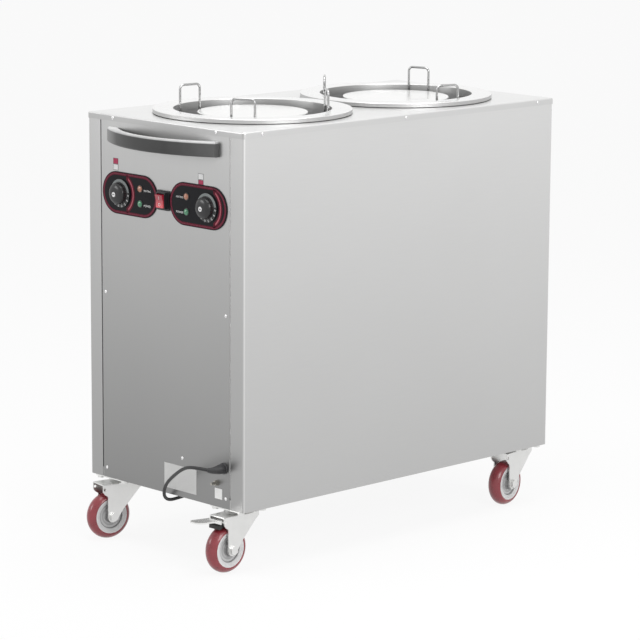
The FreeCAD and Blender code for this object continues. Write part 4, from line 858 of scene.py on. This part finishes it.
def make_screws(finishes):
    """Pan heads with a cross recess, on every seat."""
    head = turned("screw_head", SCREW_HEAD, Matrix.Identity(4), 32)
    for turn in (0, 90):
        nothing_selected()
        bpy.ops.mesh.primitive_cube_add(size=1.0, location=(0, 0, SCREW_TOP * MM),
                                        scale=tuple(side * MM for side in RECESS))
        cutter = begin("recess")
        finish_edit(cutter, Matrix.Rotation(math.radians(turn), 4, "Z"))
        modified(head, "BOOLEAN", operation="DIFFERENCE", object=cutter, solver="EXACT")
        bpy.data.objects.remove(cutter)
    heads = []
    for index, (seat, outward) in enumerate(screw_seats()):
        turn = Matrix.Rotation(math.radians(37 * index), 4, "Z")
        place = facing(Vector(seat) * MM + Vector((0, EDGE.y, 0)), outward) @ turn
        heads.append(copied(head, "screw_%d" % index, place))
    bpy.data.objects.remove(head)
    screws = dressed(joined(heads, "screw_heads"), finishes["screw"])
    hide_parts("cabinet_screws")


# ------------------------------------------------------------------ controls

FASCIA_X = 106.0
FASCIA_HALF = 87.0
FASCIA_RADIUS = 44.5
ARC_RADIUS = 41.5
ARC_WIDTH = 3.4
ARC_FROM_X = 24.0
FIELD_RADIUS = 45.0
FIELD_WIDTH = 10.5
FIELD_FROM_X = 18.0
KNOB_X = 134.5
LAMP_X = 72.0
LAMP_RISE = 15.6
KNOB = [(28.6, 0.0), (30.0, 0.5), (30.0, 1.3), (29.6, 1.7), (24.2, 2.4), (23.2, 3.0), (22.8, 4.6),
        (22.4, 8.0), (21.9, 11.0), (20.6, 13.6), (18.0, 15.6), (14.0, 16.8), (8.5, 17.4), (2.0, 17.5)]
BADGE = [(5.2, 0.0), (5.2, 0.4), (4.7, 0.7)]
BADGE_PLACE = (-1.5, -1.5, 17.2)
DIAL_NUMBERS = ("30", "40", "50", "60", "70", "80", "90")
DIAL_SPACING = 23.5
DIAL_START = -6.0
DIAL_REACH = 26.6
DIAL_NUMBER_WIDTH = 4.9
SKIRT_LEAN = 7.4
SKIRT_SLOPE = 0.125
BAND_RADIUS = 29.0
BAND_WIDTH = 4.9
BAND_BASE = 1.75
BAND_ANGLES = (8, 152)
FLUTES = (4.7, 13.0)  # from and to, up the knob
FLUTE_STEP = 3.75
LAMP_WORD_WIDTH = 22.0
LAMP_WORD_OFFSET = (21.5, 3.0)
LENS = [(6.7, 1.2), (6.7, 2.2), (5.4, 3.6), (3.0, 4.6), (0.9, 5.0)]
BEZEL = [(8.0, 0.0), (8.0, 0.9), (7.4, 1.4), (6.9, 1.4)]
LAMP_WORDS = {"amber": "HEATING", "green": "POWER"}


def side_name(side):
    return "left" if side < 0 else "right"


def face_point(node, x, z):
    """A point on a node's front side, x and z in millimetres."""
    return Vector((x * MM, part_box(node)[0].y, z * MM))


def print_fascia(side, finishes):
    """Double outline, the red field behind the knob and the arc beside it."""
    node = "control_fascia_" + side_name(side)
    middle = facing(face_point(node, side * FASCIA_X, CONTROL_Z), TO_FRONT)
    dial = facing(face_point(node, side * KNOB_X, CONTROL_Z), TO_FRONT)
    straight = FASCIA_HALF - FASCIA_RADIUS
    for name, inset, width, finish, over in (
            ("outline", 2.0, 5.2, "print_maroon", 0.0),
            ("pinstripe", 4.2, 0.6, "print_line", PRINT_LIFT)):
        ring = flat_ring("%s_%s" % (node, name), FASCIA_RADIUS - inset, width, straight)
        dressed(printed(ring, middle, over=over), finishes[finish])
    for name, radius, width, from_x, finish, over in (
            ("field", FIELD_RADIUS, FIELD_WIDTH, FIELD_FROM_X, "print_field", 0.0),
            ("arc", ARC_RADIUS, ARC_WIDTH, ARC_FROM_X, "print_pink", PRINT_LIFT)):
        arc = flat_ring("%s_%s" % (node, name), radius, width)
        bpy.ops.mesh.select_all(action="SELECT")
        bpy.ops.mesh.bisect(plane_co=(from_x * MM, 0, 0), plane_no=(-1, 0, 0), clear_outer=True)
        dressed(printed(arc, dial, over=over), finishes[finish])


def make_knob(side, finishes):
    """Domed cap with shallow flutes, the numbers of its scale round the skirt, a silver band on the skirt
    painted as a reflection, and a round badge with an index line.
    """
    name = side_name(side)
    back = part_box("thermostat_knob_" + name)[1].y
    place = facing(Vector((side * KNOB_X * MM, back, CONTROL_Z * MM)), TO_FRONT)
    body = "knob_" + name
    knob = turned(body, KNOB, Matrix.Identity(4), 96)
    bpy.ops.object.mode_set(mode="EDIT")

    def in_flute(face):
        centre = face.calc_center_median()
        slot = round(math.degrees(math.atan2(centre.y, centre.x)) / FLUTE_STEP)
        return FLUTES[0] * MM < centre.z < FLUTES[1] * MM and slot % 3 == 0

    select(knob, "FACE", in_flute)
    bpy.ops.mesh.inset(thickness=0.15 * MM, depth=-0.35 * MM)
    finish_edit(knob, place, smooth=35)
    dressed(knob, finishes["knob"], body)
    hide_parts("thermostat_knob_" + name)
    # A silver band round the skirt's upper part: painted reflection.
    band = flat_ring("scale_band_" + name, BAND_RADIUS, BAND_WIDTH)

    def off_band(face):
        centre = face.calc_center_median()
        return not BAND_ANGLES[0] < math.degrees(math.atan2(centre.y, centre.x)) % 360 < BAND_ANGLES[1]

    select(band, "FACE", off_band)
    bpy.ops.mesh.delete(type="FACE")
    finish_edit(band, Matrix.Translation((0, 0, BAND_BASE * MM)), closed=False)
    for vertex in band.data.vertices:
        reach = math.hypot(vertex.co.x, vertex.co.y)
        vertex.co.z += (BAND_RADIUS * MM - reach) * SKIRT_SLOPE
    modified(band, "SOLIDIFY", thickness=0.1 * MM, offset=1.0)
    band.data.transform(place)
    dressed(band, finishes["print_silver"], body)
    for index, number in enumerate(DIAL_NUMBERS):
        angle = math.radians(DIAL_START - DIAL_SPACING * index)
        spot = Vector((DIAL_REACH * math.cos(angle), DIAL_REACH * math.sin(angle), 2.1)) * MM
        turn = Matrix.Rotation(angle, 4, "Z")
        lean = Matrix.Rotation(math.radians(SKIRT_LEAN), 4, "Y")
        seat = place @ Matrix.Translation(spot) @ turn @ lean
        word("dial_%s_%s" % (name, number), number, DIAL_NUMBER_WIDTH, seat, finishes["print_white"], body)
    seat = place @ Matrix.Translation(Vector(BADGE_PLACE) * MM)
    badge = turned("badge_%s" % name, BADGE, seat, 32)
    dressed(badge, finishes["print_white"], body)
    line = printed(flat_ring("index_%s" % name, 0.7, 0.7, half_straight=2.6, sides=24), seat, over=0.7)
    dressed(line, finishes["housing"], body)


def make_lamps_on(side, finishes):
    """Two faceted lenses in black bezels with their words."""
    name = side_name(side)
    node = "control_fascia_" + name
    for colour, rise in (("amber", LAMP_RISE), ("green", -LAMP_RISE)):
        place = facing(face_point(node, side * LAMP_X, CONTROL_Z + rise), TO_FRONT)
        bezel = turned("bezel_%s_%s" % (colour, name), BEZEL, place, 48)
        dressed(bezel, finishes["housing"])
        lens = turned("lens_%s_%s" % (colour, name), LENS, place, 8, smooth=5)
        dressed(lens, finishes[colour])
        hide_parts("lamps_" + colour)
        inward, down = LAMP_WORD_OFFSET
        middle = face_point(node, side * LAMP_X - side * inward, CONTROL_Z + rise - down)
        word("word_%s_%s" % (colour, name), LAMP_WORDS[colour], LAMP_WORD_WIDTH,
             facing(middle, TO_FRONT), finishes["print_white"])


# From the front edge and the controls' middle, metres, and how far each half leans, degrees.
ROCKER_MARKS = {"on": (-0.01326, 0.0056, -15.4), "off": (-0.01161, -0.0078, 1.4)}


def mark_rocker(finishes):
    """The bar and the ring that stand for on and off."""
    for name, (y, z, lean) in ROCKER_MARKS.items():
        tip = math.radians(lean)
        outward = Vector((0, -math.cos(tip), math.sin(tip)))
        seat = Vector((0, EDGE.y + y, CONTROL_Z * MM + z))
        place = facing(seat, outward)
        if name == "off":
            mark = flat_ring("rocker_off", 3.2, 0.8, sides=48)
        else:
            mark = flat_ring("rocker_on", 0.5, 0.5, half_straight=3.0, sides=32)
            place = place @ Matrix.Rotation(math.pi / 2, 4, "Z")
        dressed(printed(mark, place), finishes["print_white"], "rocker")


SIGN_WIDTH = 15.6
SIGN_HEIGHT = 12.2
SIGN_BORDER = 0.7
SIGN_LIFT = 0.2
SIGNS = {
    "sign_left_top": (-152.2, 814.2, "print_red"), "sign_left_low": (-152.2, 801.6, "print_white"),
    "sign_right_top": (113.0, 809.4, "print_white"), "sign_right_low": (113.0, 796.6, "print_red"),
}


def bordered_plate(name, width, height, place, inner, border):
    """A thin sign with a narrow border round its plain field."""
    nothing_selected()
    bpy.ops.mesh.primitive_plane_add(size=MM)
    plate = begin(name)
    bpy.ops.transform.resize(value=(width, height, 1))
    plate.data.materials.append(border)
    plate.data.materials.append(inner)
    bpy.ops.mesh.inset(thickness=SIGN_BORDER * MM)
    plate.active_material_index = 1
    bpy.ops.object.material_slot_assign()
    printed(plate, place, lift=SIGN_LIFT)
    dressed(plate, None)


def make_signs(finishes):
    """Two pairs of plain coloured squares over the fascias."""
    for name, (x, z, finish) in SIGNS.items():
        seat = Vector((x * MM, EDGE.y + PANEL_INSET * MM, z * MM))
        bordered_plate(name, SIGN_WIDTH, SIGN_HEIGHT, facing(seat, TO_FRONT),
                       finishes[finish], finishes["housing"])


# ------------------------------------------------------------------ gland and springs

GLAND = [(12.0, 0.0), (12.0, 2.6), (11.2, 3.9), (9.9, 4.0), (9.9, 14.0), (9.3, 15.6), (8.6, 20.0),
         (7.7, 24.0)]
GLAND_STEM = [(7.5, -12.0), (7.5, 0.5)]
GLAND_NUT = [(11.0, -6.2), (11.0, -1.6), (10.2, -1.2)]
GLAND_GRIP = (4.5, 13.5)  # from and to, out from the panel
GLAND_SEAT = Vector((0.182, 0.0015, 0.084))
BOOT_ROLL = math.radians(20)
BOOT_BEND = math.radians(40)
BOOT_BEND_RADIUS = 0.025
BOOT_STEPS = 28
BOOT_RIB_STEPS = 4
BOOT_RADIUS = 7.4
BOOT_THINNING = 2.6
BOOT_RIB = 0.35
BOOT_GROOVE = -0.45


def make_boot():
    """Bent boot that thins out towards the cord, with ribs round it."""
    sideways = Vector((-math.cos(BOOT_ROLL), 0, math.sin(BOOT_ROLL)))
    data = bpy.data.curves.new("boot", "CURVE")
    data.dimensions = "3D"
    spline = data.splines.new("POLY")
    spline.points.add(BOOT_STEPS)
    for step, point in enumerate(spline.points):
        share = step / BOOT_STEPS
        bend = BOOT_BEND * share
        across = sideways * (1 - math.cos(bend)) + TO_FRONT * math.sin(bend)
        point.co = (*(EDGE + BOOT_START + across * BOOT_BEND_RADIUS), 1.0)
        rib = BOOT_RIB if step % BOOT_RIB_STEPS < BOOT_RIB_STEPS // 2 else BOOT_GROOVE
        point.radius = BOOT_RADIUS - BOOT_THINNING * share + rib
    data.bevel_depth = MM
    data.bevel_resolution = 6
    data.use_fill_caps = True
    boot = in_scene("boot", data)
    select_only(boot)
    bpy.ops.object.convert(target="MESH")
    return bpy.context.object


def make_gland(finishes):
    """Flanged gland with a grooved grip, and its boot."""
    place = facing(EDGE + GLAND_SEAT, TO_FRONT)
    gland = turned("gland", GLAND, place, 48)
    bpy.ops.object.mode_set(mode="EDIT")
    back = place.inverted()

    def in_groove(face):
        centre = back @ face.calc_center_median()
        on_grip = GLAND_GRIP[0] * MM < centre.z < GLAND_GRIP[1] * MM
        return on_grip and abs(face.normal.y) < 0.5 and face.index % 2 == 0

    select(gland, "FACE", in_groove)
    bpy.ops.mesh.inset(thickness=0.1 * MM, depth=-0.5 * MM, use_individual=True)
    finish_edit(gland, smooth=30)
    stem = turned("gland_stem", GLAND_STEM, place, 32)
    nut = turned("gland_nut", GLAND_NUT, place, 6, smooth=5)
    whole = joined([gland, stem, nut, make_boot()], "gland")
    dressed(whole, finishes["gland"])
    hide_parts("cable_gland")
    return whole


SPRING_REACH = 188.0
SPRING_COIL = 6.0
SPRING_WIRE = 1.0
SPRING_PITCH = 4.0
SPRING_EYE = 5.6
SPRING_TOP = 877.0
SPRING_FOOT = 709.0
ARM_BEARINGS = {"front": (7.0, 127.0, 247.0), "rear": (60.0, 180.0, 300.0)}
WELL_Y = {"front": 247.25, "rear": 672.75}


def make_spring():
    """Open coils between two upright eyes, from the origin up."""
    nothing_selected()
    eye = 2 * (SPRING_EYE + SPRING_WIRE)
    bpy.ops.mesh.primitive_circle_add(vertices=8, radius=SPRING_WIRE * MM, rotation=(math.pi / 2, 0, 0),
                                      location=(SPRING_COIL * MM, 0, eye * MM))
    coil = begin("spring")
    finish_edit(coil, closed=False)
    length = SPRING_TOP - SPRING_FOOT
    turns = int((length - 2 * eye) / SPRING_PITCH)
    modified(coil, "SCREW", angle=2 * math.pi, iterations=turns, steps=14, render_steps=14,
             screw_offset=(length - 2 * eye) / turns * MM, axis="Z")
    parts = [coil]
    for height in (eye / 2, length - eye / 2):
        nothing_selected()
        bpy.ops.mesh.primitive_torus_add(
            major_segments=24, minor_segments=8, major_radius=SPRING_EYE * MM,
            minor_radius=SPRING_WIRE * MM, rotation=(math.pi / 2, 0, 0), location=(0, 0, height * MM))
        parts.append(finish_edit(begin("eye")))
    spring = joined(parts, "spring")
    bpy.ops.object.shade_smooth()
    return spring


def make_springs(finishes):
    """Three lift springs round each well, stretching between the cabinet and the carriage."""
    spring = make_spring()
    for well in WELLS:
        middle = Vector((0, FRONT_EDGE.y + WELL_Y[well], SPRING_FOOT)) * MM
        copies = []
        for bearing in ARM_BEARINGS[well]:
            turn = Matrix.Rotation(math.radians(bearing), 4, "Z")
            out = Matrix.Translation((SPRING_REACH * MM, 0, 0))
            copies.append(copied(spring, "lift_spring", Matrix.Translation(middle) @ turn @ out))
        springs = joined(copies, "lift_spring_coils_" + well)
        springs.data.materials.clear()
        springs.data.materials.append(finishes["spring"])
        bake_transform(springs)
        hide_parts("lift_springs_" + well)
    bpy.data.objects.remove(spring)


# ------------------------------------------------------------------ floor and light

FLOOR_SIZE = 60.0
FLOOR_GLOW = 0.90
AMBIENT = 0.55
LAMPS = {
    "overhead": ((0.3, -0.2, 3.2), (0.0, 0.0, 0.9), 2.6, 60.0),
    "right": ((3.4, -0.6, 2.2), (0.0, 0.0, 0.5), 1.8, 45.0),
    "left_front": ((-2.2, -3.2, 1.8), (0.0, -0.3, 0.5), 1.4, 22.0),
}


def make_floor():
    """Pale floor that keeps a soft shadow, shows white from above and is clear from below."""
    bpy.ops.mesh.primitive_plane_add(size=FLOOR_SIZE)
    floor = bpy.context.object
    floor.name = "floor"
    finish = Finish("floor_pale", Base_Color=(0.80, 0.80, 0.80), Roughness=0.8)
    rays = finish.tree.nodes.new("ShaderNodeLightPath")
    seen = Shade(finish, rays.outputs["Is Camera Ray"]) + Shade(finish, rays.outputs["Is Glossy Ray"])
    seen = seen + Shade(finish, rays.outputs["Is Transmission Ray"])
    glow = finish.node("ShaderNodeEmission", None, {"Color": (1.0, 1.0, 1.0), "Strength": 1.0})
    mixed = finish.node("ShaderNodeMixShader", None,
                        {0: seen * FLOOR_GLOW, 1: Shade(finish, finish.shader.outputs[0]), 2: glow})
    below = finish.node("ShaderNodeNewGeometry", output="Backfacing")
    clear = finish.node("ShaderNodeBsdfTransparent")
    mixed = finish.node("ShaderNodeMixShader", None, {0: below, 1: mixed, 2: clear})
    output = finish.tree.nodes["Material Output"]
    finish.tree.links.new(mixed.socket, output.inputs["Surface"])
    floor.data.materials.append(finish.material)


def make_world():
    """Even white surroundings, at full white only where they are seen or mirrored."""
    world = bpy.data.worlds.new("surroundings")
    world.use_nodes = True
    bpy.context.scene.world = world
    nodes = world.node_tree.nodes
    links = world.node_tree.links
    rays = nodes.new("ShaderNodeLightPath")
    seen = nodes.new("ShaderNodeMath")
    seen.operation = "MAXIMUM"
    links.new(rays.outputs["Is Camera Ray"], seen.inputs[0])
    links.new(rays.outputs["Is Glossy Ray"], seen.inputs[1])
    level = nodes.new("ShaderNodeMapRange")
    level.inputs["To Min"].default_value = AMBIENT
    level.inputs["To Max"].default_value = 1.0
    links.new(seen.outputs[0], level.inputs["Value"])
    background = nodes["Background"]
    background.inputs["Color"].default_value = (1.0, 1.0, 1.0, 1.0)
    links.new(level.outputs[0], background.inputs["Strength"])


def make_lamps():
    """Three soft round lamps."""
    for name, (place, target, size, power) in LAMPS.items():
        data = bpy.data.lights.new(name, "AREA")
        data.shape = "DISK"
        data.size = size
        data.energy = power
        lamp = in_scene(name, data)
        lamp.location = place
        lamp.rotation_mode = "QUATERNION"
        lamp.rotation_quaternion = (Vector(target) - Vector(place)).to_track_quat("-Z", "Y")


# ------------------------------------------------------------------ the whole scene

def main():
    """Dress the frame, add the modelled pieces, and set the camera, the stage and the light."""
    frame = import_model()
    nodes = frame["nodes"]
    finishes = make_finishes()
    make_camera()
    cord, points = make_cord(finishes)
    away = (points[-1] - points[-2]).normalized()
    finishes["plug"] = plug_rubber("plug_rubber", CORD_BLACK, points[-1], away).material
    dress_nodes(nodes, finishes)
    make_screws(finishes)
    for side in (-1, 1):
        print_fascia(side, finishes)
        make_knob(side, finishes)
        make_lamps_on(side, finishes)
    mark_rocker(finishes)
    make_signs(finishes)
    gland = make_gland(finishes)
    make_springs(finishes)
    make_floor()
    make_world()
    make_lamps()
    bpy.context.scene.view_settings.view_transform = "Standard"


main()
